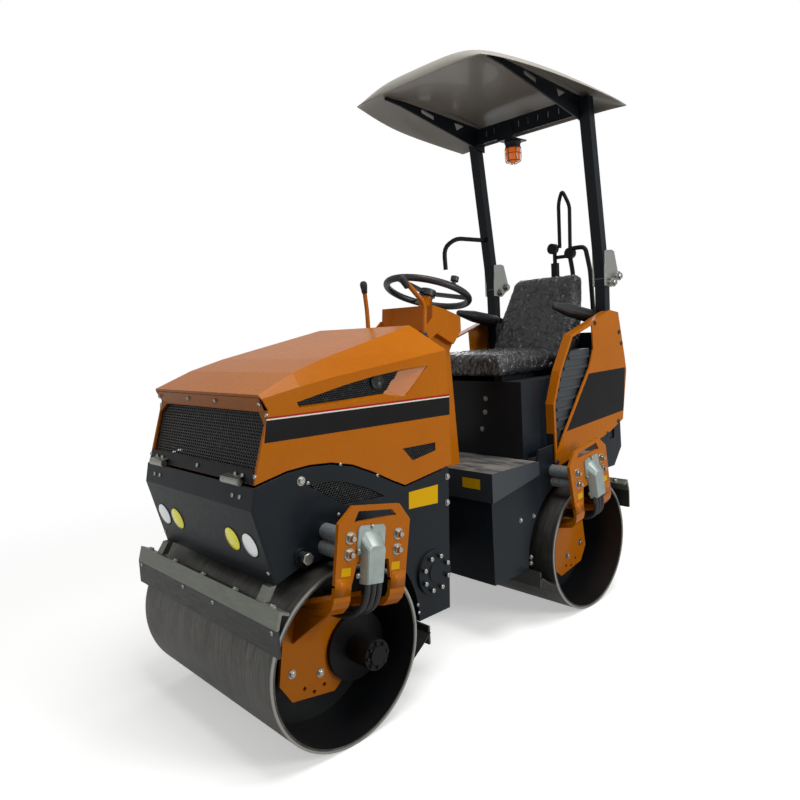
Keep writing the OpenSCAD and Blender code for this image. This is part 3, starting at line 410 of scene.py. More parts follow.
# WATER TANKS
# Blow-moulded polyethylene behind the windows of the guards, dark and waxy.
tank_poly, tree = blank("dark moulded polyethylene")
place = add(tree, "ShaderNodeTexCoord")
haze = add(tree, "ShaderNodeTexNoise", {"Vector": place.outputs["Object"], "Scale": millimetres(18), "Detail": 6.0})
rough = add(tree, "ShaderNodeMapRange", {0: haze.outputs[0], 3: 0.36, 4: 0.55})
skin = add(tree, "ShaderNodeBump", {"Height": haze.outputs[0], "Strength": 0.15, "Distance": 0.001})
shade(tree, {"Base Color": linear("#33383C"), "Roughness": rough.outputs[0], "Normal": skin.outputs[0]})
dress(tank_poly, "water_tank")

# STEERING WHEEL
# Black moulded plastic over a steel ring, with a fine leather-like grain on the rim.
moulded, tree = blank("black moulded plastic, grained")
place = add(tree, "ShaderNodeTexCoord")
grain = add(tree, "ShaderNodeTexVoronoi", {"Vector": place.outputs["Object"], "Scale": millimetres(2.5)})
skin = add(tree, "ShaderNodeBump", {"Height": grain.outputs[0], "Strength": 0.25, "Distance": 0.0004})
shade(tree, {"Base Color": linear("#15161A"), "Roughness": 0.42, "Normal": skin.outputs[0]})
dress(moulded, "steering_wheel", "armrests")


# SCREWS
# Zinc plated hexagon screws with washers hold the plates together, and small dome
# head screws hold the grilles and labels. Each is turned or cut from bar.
zinc_plate, tree = blank("bright zinc plate on screws")
place = add(tree, "ShaderNodeTexCoord")
bloom = add(tree, "ShaderNodeTexNoise", {"Vector": place.outputs["Object"], "Scale": millimetres(9), "Detail": 5.0})
colour = add(tree, "ShaderNodeMix", {0: bloom.outputs[0], 6: linear("#868883"), 7: linear("#B9B8B0")},
             data_type="RGBA")
rough = add(tree, "ShaderNodeMapRange", {0: bloom.outputs[0], 3: 0.24, 4: 0.42})
shade(tree, {"Base Color": colour.outputs[2], "Metallic": 1.0, "Roughness": rough.outputs[0]})


def in_front(x, y, z):
    """A place in the front half, in millimetres from the front axle, as metres in the frame."""
    return Vector((front_axle + x / 1000, y / 1000, z / 1000))


def in_rear(x, y, z):
    """A place in the rear half: x runs backwards from the rear axle."""
    return Vector((rear_axle - x / 1000, y / 1000, z / 1000))


def facing(at, way, spin=0):
    """A frame at a place whose height runs along way."""
    turn_to = Vector(way).to_track_quat("Z", "Y").to_matrix().to_4x4()
    return Matrix.Translation(at) @ turn_to @ Matrix.Rotation(math.radians(spin), 4, "Z")


def turn(bm, where, profile, steps=24):
    """Turns a profile of radius and height, in millimetres, as on a lathe; 6 steps cut a hexagon."""
    rings = []
    for radius, height in profile:
        count = steps if radius > 0.01 else 1
        rings.append([bm.verts.new(where @ Vector((radius * math.cos(math.tau * i / steps) / 1000,
                     radius * math.sin(math.tau * i / steps) / 1000, height / 1000))) for i in range(count)])
    for low, high in zip(rings, rings[1:]):
        for i in range(steps):
            corners = []
            for ring, k in ((low, i), (low, i + 1), (high, i + 1), (high, i)):
                if ring[k % len(ring)] not in corners:
                    corners.append(ring[k % len(ring)])
            if len(corners) > 2:
                bm.faces.new(corners)


def hex_screw(bm, at, way, r, washer=True, spin=10):
    """A hexagon head with a chamfer, on a washer."""
    lift = 0.0
    if washer:
        turn(bm, facing(at, way), [(0, 0), (r * 1.4, 0), (r * 1.44, 0.3), (r * 1.4, 1.8), (0, 1.8)])
        lift = 1.8
    turn(bm, facing(at, way, spin), [(0, lift), (r, lift), (r, lift + r * 0.62), (r * 0.84, lift + r * 0.72),
         (r * 0.5, lift + r * 0.7), (0, lift + r * 0.7)], 6)


def dome_screw(bm, at, way, r):
    """A low dome head with a hexagon socket."""
    turn(bm, facing(at, way), [(0, 0), (r, 0), (r * 0.97, r * 0.25), (r * 0.7, r * 0.52), (r * 0.42, r * 0.6)], 16)
    turn(bm, facing(at, way), [(r * 0.42, r * 0.6), (r * 0.36, r * 0.58), (r * 0.36, r * 0.2), (0, r * 0.2)], 6)


def leaned(u, y, v, place, tip=10):
    """A point of the leaning drum carriers: u along the machine and v up from the axle."""
    c, s = math.cos(math.radians(tip)), math.sin(math.radians(tip))
    return place(u * c - v * s, y, 280 + u * s + v * c)


left, right_side = (0, 1, 0), (0, -1, 0)
bolts = bmesh.new()
for side in (1, -1):
    way = (0, side, 0)
    hex_screw(bolts, in_front(105, side * 374, 607), way, 19, False)
    for x, z, r in ((-528, 724, 8), (-522, 632, 8), (88, 829, 10)):
        hex_screw(bolts, in_front(x, side * 350, z), way, r)
    for x, z in ((64, 818), (-60, 852), (-205, 790), (-40, 700), (-353, 310), (-356, 282)):
        dome_screw(bolts, in_front(x, side * 350, z), way, 6)
    for i in range(8):
        a = (i + 0.5) * math.tau / 8
        hex_screw(bolts, in_front(-435 + 60 * math.cos(a), side * 367, 403 + 60 * math.sin(a)), way, 8.5, False)
piece("front_frame_screws", bolts, zinc_plate, "front_frame")

for place, body in ((in_front, "front_frame"), (in_rear, "rear_frame")):
    bolts = bmesh.new()
    for side in (1, -1):
        way = (0, side, 0)
        for u in (-109, 79):
            for v in (374, 327):
                hex_screw(bolts, leaned(u, side * 469, v, place), way, 13)
                turn(bolts, facing(leaned(u, side * 480, v, place), way),
                     [(0, 0), (8, 0), (8, 8), (7, 9), (0, 9)], 16)
        for u, v in ((114, -72), (6, -90)):
            hex_screw(bolts, leaned(u, side * 282, v, place), way, 10)
    piece(body + "_carrier_screws", bolts, zinc_plate, body)

panel_way = (math.cos(math.radians(12)), 0, math.sin(math.radians(12)))
lip_way = (math.cos(math.radians(17.2)), 0, math.sin(math.radians(17.2)))
bolts = bmesh.new()
for y in (-283, -243, 243, 283):
    dome_screw(bolts, in_front(253 - (807 - 775) * 13 / 63 + 6, y, 807), panel_way, 7)
dome_screw(bolts, in_front(211, 337, 584), (math.cos(math.radians(-14)), 0, math.sin(math.radians(-14))), 7)
dome_screw(bolts, in_front(211, -337, 584), (math.cos(math.radians(-14)), 0, math.sin(math.radians(-14))), 7)
piece("front_panel_screws", bolts, zinc_plate, "front_frame")


# HOOD HINGE STRIP
# A black strip of sheet closes the hood under its grille and carries the two zinc
# butt hinges, each with a rolled barrel round its pin.
bm = bmesh.new()


def box(bm, corners, depth_way, depth):
    """A plate between four corners, given a thickness along depth_way."""
    step = Vector(depth_way).normalized() * depth
    low = [bm.verts.new(Vector(c)) for c in corners]
    high = [bm.verts.new(Vector(c) + step) for c in corners]
    count = len(corners)
    faces = [bm.faces.new(low[::-1]), bm.faces.new(high)]
    for i in range(count):
        faces.append(bm.faces.new((low[i], low[(i + 1) % count], high[(i + 1) % count], high[i])))
    return faces


box(bm, [in_front(239, -336, 846), in_front(239, 336, 846), in_front(227.6, 336, 883), in_front(227.6, -336, 883)],
    lip_way, 0.003)
piece("hinge_strip", bm, black_enamel, "hood")
bm = bmesh.new()
box(bm, [in_front(178, -328, 1042), in_front(178, 328, 1042), in_front(197, 332, 1082), in_front(197, -332, 1082)],
    (-1, 0, 0.4), 0.002)
piece("visor_strip", bm, orange_gloss, "hood")
bm = bmesh.new()
for y in (-283, -243, 10, 243, 283):
    dome_screw(bm, in_front(238.5, y, 866), lip_way, 7)
for y, z in ((-325, 1072), (-110, 1072), (70, 1072), (325, 1072)):
    dome_screw(bm, in_front(178.4 + (z - 1042) * 19 / 40, y, z - 8), (0.9, 0, -0.43), 7)
for z in (868, 1034):
    for y in (-341, 341):
        dome_screw(bm, in_front(238 - (z - 852) * 60 / 194, y, z), lip_way, 7)
piece("hood_front_screws", bm, zinc_plate, "hood")
bm = bmesh.new()
for side in (1, -1):
    for y0, y1 in ((-25, 25),):
        turn(bm, facing(in_front(254, side * 245 + y0, 850), (0, 1, 0)),
             [(0, 0), (10.6, 0), (11.2, 0.6), (11.2, y1 - y0 - 0.6), (10.6, y1 - y0), (0, y1 - y0)])
for y in (-245, 245):
    box(bm, [in_front(234, y - 46, 863), in_front(234, y + 46, 863), in_front(263, y + 46, 859), in_front(263, y - 46, 859)],
        (0, 0, 1), 0.002)
piece("hinge_barrels", bm, zinc_plate, "hood")
bm = bmesh.new()
for side in (1, -1):
    for y0, y1 in ((-46, -26), (26, 46)):
        turn(bm, facing(in_front(254, side * 245 + y0, 850), (0, 1, 0)),
             [(0, 0), (10.6, 0), (11.2, 0.6), (11.2, y1 - y0 - 0.6), (10.6, y1 - y0), (0, y1 - y0)])
piece("hinge_knuckles", bm, zinc_plate, "front_frame")


# GRILLES
# Expanded steel mesh, black, with slots of 14 by 9 mm in rows that step by half a slot.
# Each is a sheet with real openings, tacked behind the hole that it closes.
def mesh_sheet(bm, inside, place, box_2d, pitch, strand, depth_way, depth):
    """Cuts six-sided openings in a sheet; inside tells where the sheet lies, in its own two axes."""
    (u0, v0), (u1, v1) = box_2d
    pu, pv = pitch
    rows = int((v1 - v0) / pv) + 1
    cols = int((u1 - u0) / pu) + 1
    verts = {}

    def corner(u, v):
        key = (round(u, 2), round(v, 2))
        if key not in verts:
            verts[key] = bm.verts.new(place(u, v))
        return verts[key]
    for row in range(rows):
        for col in range(cols):
            cu = u0 + (col + (row % 2) * 0.5) * pu
            cv = v0 + row * pv
            if not inside(cu, cv):
                continue
            rim = [(cu - pu / 2, cv - pv / 4), (cu, cv - pv * 3 / 4), (cu + pu / 2, cv - pv / 4),
                   (cu + pu / 2, cv + pv / 4), (cu, cv + pv * 3 / 4), (cu - pu / 2, cv + pv / 4)]
            hole = [(cu + (u - cu) * (1 - 2 * strand / pu), cv + (v - cv) * (1 - 2 * strand / pv)) for u, v in rim]
            outer = [corner(u, v) for u, v in rim]
            inner = [bm.verts.new(place(u, v)) for u, v in hole]
            for i in range(6):
                k = (i + 1) % 6
                bm.faces.new((outer[i], outer[k], inner[k], inner[i]))
    shift = Vector(depth_way).normalized() * depth
    made = bmesh.ops.extrude_face_region(bm, geom=bm.faces[:])
    bmesh.ops.translate(bm, vec=shift, verts=[g for g in made["geom"] if isinstance(g, bmesh.types.BMVert)])


def within(outline):
    """Tells whether a point lies in an outline."""
    def test(u, v):
        odd = False
        for (u1, v1), (u2, v2) in zip(outline, outline[1:] + outline[:1]):
            if (v1 > v) != (v2 > v) and u < (u2 - u1) * (v - v1) / (v2 - v1) + u1:
                odd = not odd
        return odd
    return test


mesh_black, tree = blank("black paint on expanded mesh")
place = add(tree, "ShaderNodeTexCoord")
chips = add(tree, "ShaderNodeTexNoise", {"Vector": place.outputs["Object"], "Scale": millimetres(12), "Detail": 6.0})
edge = add(tree, "ShaderNodeMapRange", {0: chips.outputs[0], 1: 0.55, 2: 0.75})
colour = add(tree, "ShaderNodeMix", {0: edge.outputs[0], 6: linear("#1A1B1C"), 7: linear("#4A4B4C")}, data_type="RGBA")
shade(tree, {"Base Color": colour.outputs[2], "Roughness": 0.3, "Metallic": 0.5})

bm = bmesh.new()
slope = math.hypot(1041 - 866, 225.4 - 171.2)
rise = (225.4 - 171.2) / (1041 - 866)
mesh_sheet(bm, within([(-338, 866), (338, 866), (338, 1041), (-338, 1041)]),
           lambda u, v: in_front(225.2 - (v - 866) * rise, u, v), ((-334, 868), (338, 1040)), (13.5, 9.0), 1.6,
           (-1, 0, -rise), 0.0022)
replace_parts(piece("front_grille_mesh", bm, mesh_black, "hood", 0), "hood_grille")

side_window = [(70, 816), (-12, 812), (-80, 797), (-168, 758), (-238, 712), (-70, 718)]
bm = bmesh.new()
for side in (1, -1):
    mesh_sheet(bm, within(side_window), lambda u, v: in_front(u, side * 343.6, v), ((-240, 712), (72, 818)),
               (11.0, 7.0), 1.5, (0, -side, 0), 0.002)
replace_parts(piece("side_window_mesh", bm, mesh_black, "front_frame", 0), "side_grilles")

hood_window = [(76, 1058), (70, 1045), (-60, 1043), (-264, 1046), (-346, 1120), (-335, 1124), (-218, 1114), (-100, 1098),
               (0, 1080)]
hood_slot = [(-318, 860), (-484, 860), (-480, 822), (-364, 804)]
bm = bmesh.new()
for side in (1, -1):
    mesh_sheet(bm, within(hood_window), lambda u, v: in_front(u, side * 329, v), ((-360, 1036), (88, 1130)),
               (10.0, 6.4), 1.4, (0, -side, 0), 0.002)
    mesh_sheet(bm, within(hood_slot), lambda u, v: in_front(u, side * 343.8, v), ((-486, 802), (-316, 862)),
               (10.0, 6.4), 1.4, (0, -side, 0), 0.002)
    turn(bm, facing(in_front(-240, side * 329, 1088), (0, side, 0)),
         [(0, 0), (27, 0), (27, 5), (24, 7.5), (8, 8), (6, 7), (0, 7)], 32)
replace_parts(piece("hood_window_mesh", bm, mesh_black, "hood", 30), "hood_vents")
bm = bmesh.new()
for side in (1, -1):
    rim = [(82, 1059), (75, 1040), (-60, 1036), (-254, 1040), (-348, 1029), (-460, 1122), (-335, 1118), (-218, 1108),
           (-100, 1092), (0, 1074)]
    sunk = [(80, 1060), (72, 1046), (-60, 1045), (-250, 1048), (-266, 1046), (-348, 1122), (-335, 1120), (-218, 1110),
            (-100, 1094), (0, 1076)]
    near = [bm.verts.new(in_front(u, side * 345.4, v)) for u, v in rim]
    deep = [bm.verts.new(in_front(u, side * 330, v)) for u, v in sunk]
    for i in range(len(rim)):
        k = (i + 1) % len(rim)
        bm.faces.new((near[i], near[k], deep[k], deep[i]))
recess = piece("hood_window_recess", bm, orange_gloss, "hood", 30)


# HEADLAMPS
# Four round lamps in the panel: the outer two have clear lenses, the inner two are
# fog lamps with yellow ones. Moulded flutes cross the glass, and a rubber ring holds it. The lamps are off, and both
# lenses carry a painted glow.
clear_lens, tree = blank("clear fluted lamp glass over a white reflector")
place = add(tree, "ShaderNodeTexCoord")
flutes = add(tree, "ShaderNodeTexVoronoi", {"Vector": place.outputs["Object"], "Scale": millimetres(8),
             "Randomness": 0.15})
skin = add(tree, "ShaderNodeBump", {"Height": flutes.outputs[0], "Strength": 0.9, "Distance": 0.002})
# Painted glints: the clear glass is painted near white at the middle of each flute.
glint = add(tree, "ShaderNodeMapRange", {0: flutes.outputs[0], 1: 0.0, 2: 0.6, 3: 1.0, 4: 0.72})
colour = add(tree, "ShaderNodeMix", {0: glint.outputs[0], 6: linear("#B9C2C4"), 7: linear("#FBFDFD")},
             data_type="RGBA")
# Painted glow: the unlit clear lens emits a faint white light.
shade(tree, {"Base Color": colour.outputs[2], "Roughness": 0.08, "Normal": skin.outputs[0], "Coat Weight": 1.0,
             "Coat Roughness": 0.03, "Emission Color": linear("#EFF6F8"), "Emission Strength": 0.28})
yellow_lens, tree = blank("yellow fluted lamp glass")
place = add(tree, "ShaderNodeTexCoord")
flutes = add(tree, "ShaderNodeTexVoronoi", {"Vector": place.outputs["Object"], "Scale": millimetres(11),
             "Randomness": 0.3})
skin = add(tree, "ShaderNodeBump", {"Height": flutes.outputs[0], "Strength": 0.8, "Distance": 0.002})
colour = add(tree, "ShaderNodeMix", {0: flutes.outputs[0], 6: linear("#F6F000"), 7: linear("#C9B800")},
             data_type="RGBA")
# Painted glow: the unlit yellow lens emits a faint yellow light.
shade(tree, {"Base Color": colour.outputs[2], "Roughness": 0.1, "Normal": skin.outputs[0], "Coat Weight": 1.0,
             "Coat Roughness": 0.03, "Emission Color": linear("#F2EA00"), "Emission Strength": 0.3})
lamp_way = Vector((math.cos(math.radians(-14)), 0, math.sin(math.radians(-14))))
for name, mat, y in (("fog_lamps", yellow_lens, 182), ("head_lamps", clear_lens, 282)):
    bm = bmesh.new()
    for side in (1, -1):
        where = facing(in_front(223, side * y, 663), lamp_way)
        turn(bm, where, [(0, 4), (37.4, 4), (37.6, 7), (36.5, 10), (32, 12.6), (18, 15), (0, 15.8)], 40)
    piece(name + "_glass", bm, mat, "front_frame")
rubber, tree = blank("black rubber, dull with fine dust")
place = add(tree, "ShaderNodeTexCoord")
dull = add(tree, "ShaderNodeTexNoise", {"Vector": place.outputs["Object"], "Scale": millimetres(4), "Detail": 4.0})
rough = add(tree, "ShaderNodeMapRange", {0: dull.outputs[0], 3: 0.5, 4: 0.75})
skin = add(tree, "ShaderNodeBump", {"Height": dull.outputs[0], "Strength": 0.2, "Distance": 0.0004})
shade(tree, {"Base Color": linear("#141517"), "Roughness": rough.outputs[0], "Normal": skin.outputs[0]})
bm = bmesh.new()
for y in (-282, -182, 182, 282):
    where = facing(in_front(223, y, 663), lamp_way)
    turn(bm, where, [(37.2, 5), (37.6, 8.6), (38.2, 9.2), (38.8, 8), (39, 4), (39, -20), (28, -32), (0, -34)], 40)
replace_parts(piece("lamp_housings", bm, rubber, "front_frame"), "headlamps")


# SCRAPERS
# A bare steel angle, worn bright by use, clamps a black rubber blade over the drum
# with five screws. The mask follows the height of the blade's upper edge.
scraper_bar, tree = blank("worn bare steel angle over black rubber blade")
place = add(tree, "ShaderNodeTexCoord")
spots = add(tree, "ShaderNodeSeparateXYZ", {0: place.outputs["Object"]})
grown = add(tree, "ShaderNodeMapping", {"Vector": place.outputs["Object"], "Scale": (1.0, 0.12, 1.0)})
scuff = add(tree, "ShaderNodeTexNoise", {"Vector": grown.outputs[0], "Scale": millimetres(10), "Detail": 9.0,
            "Roughness": 0.8})
metal = add(tree, "ShaderNodeMix", {0: scuff.outputs[0], 6: linear("#3B3D38"), 7: linear("#A3A69C")}, data_type="RGBA")
black = add(tree, "ShaderNodeMix", {0: scuff.outputs[0], 6: linear("#0B0C0C"), 7: linear("#2C2D2C")}, data_type="RGBA")
above = add(tree, "ShaderNodeMath", {0: spots.outputs[2], 1: 0.4675}, operation="GREATER_THAN")
colour = add(tree, "ShaderNodeMix", {0: above.outputs[0], 6: black.outputs[2], 7: metal.outputs[2]}, data_type="RGBA")
shine = add(tree, "ShaderNodeMath", {0: above.outputs[0], 1: 0.7}, operation="MULTIPLY")
rough = add(tree, "ShaderNodeMapRange", {0: scuff.outputs[0], 1: 0.3, 2: 0.7, 3: 0.3, 4: 0.6})
skin = add(tree, "ShaderNodeBump", {"Height": scuff.outputs[0], "Strength": 0.4, "Distance": 0.0008})
shade(tree, {"Base Color": colour.outputs[2], "Metallic": shine.outputs[0], "Roughness": rough.outputs[0],
             "Normal": skin.outputs[0]})
dress(scraper_bar, "scrapers_front", "scrapers_rear")
for place, body, out in ((in_front, "front_frame", 1), (in_rear, "rear_frame", -1)):
    bm = bmesh.new()
    for y in (-400, -200, 0, 200, 400):
        hex_screw(bm, place(243, y, 512.4), (-0.436 * out, 0, 0.9), 9)
    for y in (-430, -100, 100, 430):
        dome_screw(bm, place(270.8, y, 456), (out, 0, 0.02), 7)
    piece("scraper_screws_" + body, bm, zinc_plate, body)


# DRUM CARRIERS' BOXES AND HOSES
# A zinc plated vibration junction box stands on each orange carrier plate, with
# three black hydraulic hoses hanging from it into the drum.
zinc_cast, tree = blank("dull zinc plate on pressed boxes")
place = add(tree, "ShaderNodeTexCoord")
bloom = add(tree, "ShaderNodeTexNoise", {"Vector": place.outputs["Object"], "Scale": millimetres(35), "Detail": 7.0})
colour = add(tree, "ShaderNodeMix", {0: bloom.outputs[0], 6: linear("#7F8C89"), 7: linear("#B4BDB8")},
             data_type="RGBA")
rough = add(tree, "ShaderNodeMapRange", {0: bloom.outputs[0], 3: 0.35, 4: 0.6})
shade(tree, {"Base Color": colour.outputs[2], "Metallic": 0.75, "Roughness": rough.outputs[0]})
hose_black, tree = blank("black cloth-wrapped hydraulic hose")
place = add(tree, "ShaderNodeTexCoord")
weave = add(tree, "ShaderNodeTexVoronoi", {"Vector": place.outputs["Object"], "Scale": millimetres(2.2)})
skin = add(tree, "ShaderNodeBump", {"Height": weave.outputs[0], "Strength": 0.4, "Distance": 0.0004})
shade(tree, {"Base Color": linear("#191A1B"), "Roughness": 0.55, "Normal": skin.outputs[0]})


def tube(bm, points, radius, steps=14, fine=8):
    """A round tube along points in the frame, bent through them as a hose bends."""
    path = []
    ends = [points[0] * 2 - points[1]] + points + [points[-1] * 2 - points[-2]]
    for a, b, c, d in zip(ends, ends[1:], ends[2:], ends[3:]):
        for i in range(fine):
            t = i / fine
            path.append(0.5 * (2 * b + (c - a) * t + (2 * a - 5 * b + 4 * c - d) * t * t
                               + (3 * b - a - 3 * c + d) * t ** 3))
    path.append(points[-1])
    side = None
    before = None
    for i, at in enumerate(path):
        along = (path[min(i + 1, len(path) - 1)] - path[max(i - 1, 0)]).normalized()
        side = side - along * side.dot(along) if side else along.orthogonal()
        side.normalize()
        up = along.cross(side)
        ring = [bm.verts.new(at + (side * math.cos(math.tau * k / steps) + up * math.sin(math.tau * k / steps))
                * radius / 1000) for k in range(steps)]
        if before:
            for k in range(steps):
                bm.faces.new((before[k], before[(k + 1) % steps], ring[(k + 1) % steps], ring[k]))
        else:
            bm.faces.new(ring[::-1])
        before = ring
    bm.faces.new(before)


for place, node, body in ((in_front, "hoses_front", "front_frame"), (in_rear, "hoses_rear", "rear_frame")):
    bm = bmesh.new()
    for side in (1, -1):
        low = [leaned(u, side * 469.3, v, place) for u, v in ((-41, 236), (35, 236), (41, 372), (27, 394), (-27, 394),
               (-41, 372))]
        high = [leaned(u, side * 502.5, v, place) for u, v in ((-33, 240), (29, 240), (33, 340), (20, 352), (-20, 352),
                (-33, 340))]
        rings = [[bm.verts.new(v) for v in ring] for ring in (low, high)]
        bm.faces.new(rings[0])
        bm.faces.new(rings[1])
        for i in range(6):
            k = (i + 1) % 6
            bm.faces.new((rings[0][i], rings[0][k], rings[1][k], rings[1][i]))
        box(bm, [leaned(u, side * 469.3, v, place) for u, v in ((-54, 322), (54, 322), (54, 398), (44, 408), (-44, 408),
            (-54, 398))], (0, side, 0), 0.004)
    bmesh.ops.bevel(bm, geom=bm.edges[:], offset=0.0022, segments=2, affect="EDGES")
    piece(node + "_boxes", bm, zinc_cast, body)
    bm = bmesh.new()
    for side in (1, -1):
        for u, drop in ((-28, 0), (-6, 10), (16, -4)):
            tube(bm, [leaned(a, side * y, v, place) for a, y, v in ((u, 485, 244), (u, 486, 205),
                 (u + 3, 472, 165), (u + 8, 432, 138 + drop), (u + 14, 375, 126 + drop), (u + 18, 330, 122),
                 (u + 20, 304, 118))], 10)
            turn(bm, facing(leaned(u + 20, side * 308, 118, place), (0, -side, 0)),
                 [(0, 0), (13, 0), (13, 10), (11, 12), (11, 18), (14, 18), (14, 24), (0, 24)], 6)
            turn(bm, facing(leaned(u, side * 485, 240, place), (0, 0, -1)),
                 [(0, 0), (11, 0), (11, 12), (9.6, 14), (9.6, 24), (0, 24)], 6)
    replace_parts(piece(node + "_lines", bm, hose_black, body), node)
    bm = bmesh.new()
    for side in (1, -1):
        for u, v in ((-47, 334), (47, 334), (-47, 262), (43, 262), (0, 402)):
            hex_screw(bm, leaned(u, side * 473, v, place), (0, side, 0), 6)
    piece(node + "_screws", bm, zinc_plate, body)


# STRIPES AND BLANK LABELS
# The cut vinyl stripes and labels stand a third of a millimetre proud of the paint.
def sticker(bm, node, outline, way, reach=0.05, cell=0.012, lift=0.00045):
    """Lays an outline of frame points onto a CAD node along way, and stands it lift proud of the sheet."""
    made = bpy.data.objects[node]
    tree = trees.get(node)
    if tree is None:
        shape = bmesh.new()
        shape.from_mesh(made.data)
        shape.transform(made.matrix_world)
        tree = trees[node] = BVHTree.FromBMesh(shape)
        shape.free()
    way = Vector(way).normalized()
    flat = bmesh.new()
    flat.faces.new([flat.verts.new(v) for v in outline])
    for axis in (0, 2, 1):
        values = [v.co[axis] for v in flat.verts]
        low, high = min(values), max(values)
        normal = Vector([1.0 if k == axis else 0.0 for k in range(3)])
        if high - low < cell or abs(normal.dot(way)) > 0.8:
            continue
        for i in range(1, int((high - low) / cell) + 1):
            at = low + i * cell
            if at < high - 0.001:
                bmesh.ops.bisect_plane(flat, geom=flat.verts[:] + flat.edges[:] + flat.faces[:],
                                       plane_co=normal * at, plane_no=normal)
    bmesh.ops.triangulate(flat, faces=flat.faces)
    for v in flat.verts:
        hit = tree.ray_cast(v.co + way * reach, -way, reach * 2)
        if hit[0] is not None:
            v.co = hit[0] + way * lift
    told = {v: bm.verts.new(v.co) for v in flat.verts}
    for f in flat.faces:
        bm.faces.new([told[v] for v in f.verts])
    flat.free()


trees = {}
vinyl = {}
for name, tone in (("black", "#101012"), ("red", "#A3201C"), ("white", "#E4DFD4"), ("yellow", "#D9A800"),
                   ("grey", "#B9B6AC"), ("orange", "#C97A3A")):
    vinyl[name], tree = blank(name + " cut vinyl")
    place = add(tree, "ShaderNodeTexCoord")
    wear = add(tree, "ShaderNodeTexNoise", {"Vector": place.outputs["Object"], "Scale": millimetres(60),
               "Detail": 8.0})
    rough = add(tree, "ShaderNodeMapRange", {0: wear.outputs[0], 3: 0.28, 4: 0.5})
    shade(tree, {"Base Color": linear(tone), "Roughness": rough.outputs[0], "Specular IOR Level": 0.12})

stripes = (("black", (198, 957), (-557, 942), (-560, 1004), (186, 1019)),
           ("white", (186, 1019), (-560, 1004), (-561, 1008), (185, 1023)),
           ("red", (185, 1023), (-561, 1008), (-562, 1015), (184, 1028)))
for tone, *corners in stripes:
    bm = bmesh.new()
    for side in (1, -1):
        sticker(bm, "hood", [in_front(x, side * 350, z) for x, z in corners], (0, side, 0))
    piece("hood_stripe_" + tone, bm, vinyl[tone], "hood", 0)

bm = bmesh.new()
for side in (1, -1):
    sticker(bm, "front_frame", [in_front(x, side * 350, z) for x, z in
            ((-339, 707), (-479, 706), (-474, 641), (-335, 650))], (0, side, 0))
piece("warning_labels_front", bm, vinyl["yellow"], "front_frame", 0)

for place, body in ((in_front, "front_frame"), (in_rear, "rear_frame")):
    bm = bmesh.new()
    for side in (1, -1):
        for u0, u1 in ((-153.6, -92.4), (62.4, 123.6)):
            box(bm, [leaned(u, side * 468.9, v, place) for u, v in ((u0, 206), (u1, 206), (u1, 258), (u0, 258))],
                (0, side, 0), 0.0011)
    piece("leg_seams_" + body, bm, orange_gloss, body, 0)

for place, body, node in ((in_front, "front_frame", "yokes_front"), (in_rear, "rear_frame", "yokes_rear")):
    bm = bmesh.new()
    for side in (1, -1):
        for u, v, w, h in ((-108, 276, 34, 24), (86, 276, 34, 24)):
            corners = [(u - w / 2, v - h / 2), (u + w / 2, v - h / 2), (u + w / 2, v + h / 2), (u - w / 2, v + h / 2)]
            sticker(bm, node, [leaned(a, side * 470, b, place) for a, b in corners], (0, side, 0))
    piece("carrier_labels_" + body, bm, vinyl["yellow"], body, 0)

bm = bmesh.new()
for side in (1, -1):
    sticker(bm, "side_guards", [in_rear(x, side * 360, z) for x, z in
            ((112, 1010), (428, 1013), (405, 812), (-72, 780))], (0, side, 0))
piece("guard_band", bm, vinyl["black"], "rear_frame", 0)
bm = bmesh.new()
for side in (1, -1):
    for x, z in ((378, 1181), (396, 1128), (355, 767), (170, 1229), (-148, 660), (258, 722)):
        dome_screw(bm, in_rear(x, side * 360, z), (0, side, 0), 10)
piece("guard_screws", bm, rubber, "rear_frame")
rear_front = 574
bm = bmesh.new()
for side in (1, -1):
    sticker(bm, "floor_plate", [in_rear(-rear_front - 6, side * y, z) for y, z in
            ((212, 622), (302, 622), (302, 662), (212, 662))], (1, 0, 0))
piece("skirt_labels", bm, vinyl["yellow"], "rear_frame", 0)


# FOLDING ROLL BAR
# Zinc plated plates carry the fold bolts between the lower posts and the upper ones.
bracket_in, bracket_out = 284.7, 351.3
post_enamel = slate_enamel.copy()
post_enamel.name = "slate enamel posts with zinc plated fold plates"
tree = post_enamel.node_tree
surface = next(n for n in tree.nodes if n.type == "BSDF_PRINCIPLED")
painted = surface.inputs["Base Color"].links[0].from_socket
place = add(tree, "ShaderNodeTexCoord")
spots = add(tree, "ShaderNodeSeparateXYZ", {0: place.outputs["Object"]})
outward = add(tree, "ShaderNodeMath", {0: spots.outputs[1]}, operation="ABSOLUTE")
off_post = add(tree, "ShaderNodeMath", {0: outward.outputs[0], 1: -0.318}, operation="ADD")
aside = add(tree, "ShaderNodeMath", {0: off_post.outputs[0]}, operation="ABSOLUTE")
beyond = add(tree, "ShaderNodeMath", {0: aside.outputs[0], 1: 0.0251}, operation="GREATER_THAN")
high = add(tree, "ShaderNodeMath", {0: spots.outputs[2], 1: 1.386}, operation="GREATER_THAN")
zinc = add(tree, "ShaderNodeMath", {0: beyond.outputs[0], 1: high.outputs[0]}, operation="MULTIPLY")
colour = add(tree, "ShaderNodeMix", {0: zinc.outputs[0], 6: painted, 7: linear("#A9ABA6")}, data_type="RGBA")
tree.links.new(colour.outputs[2], surface.inputs["Base Color"])
tree.links.new(zinc.outputs[0], surface.inputs["Metallic"])
dress(post_enamel, "rops_lower")
bm = bmesh.new()
for side in (1, -1):
    for x, z, r in ((334, 1409, 15), (382, 1437, 15)):
        for y, way in ((bracket_out + 13.6, side), (bracket_in - 3.6, -side)):
            hex_screw(bm, in_rear(x, side * y, z), (0, way, 0), r)
piece("fold_bolts", bm, zinc_plate, "rear_frame")

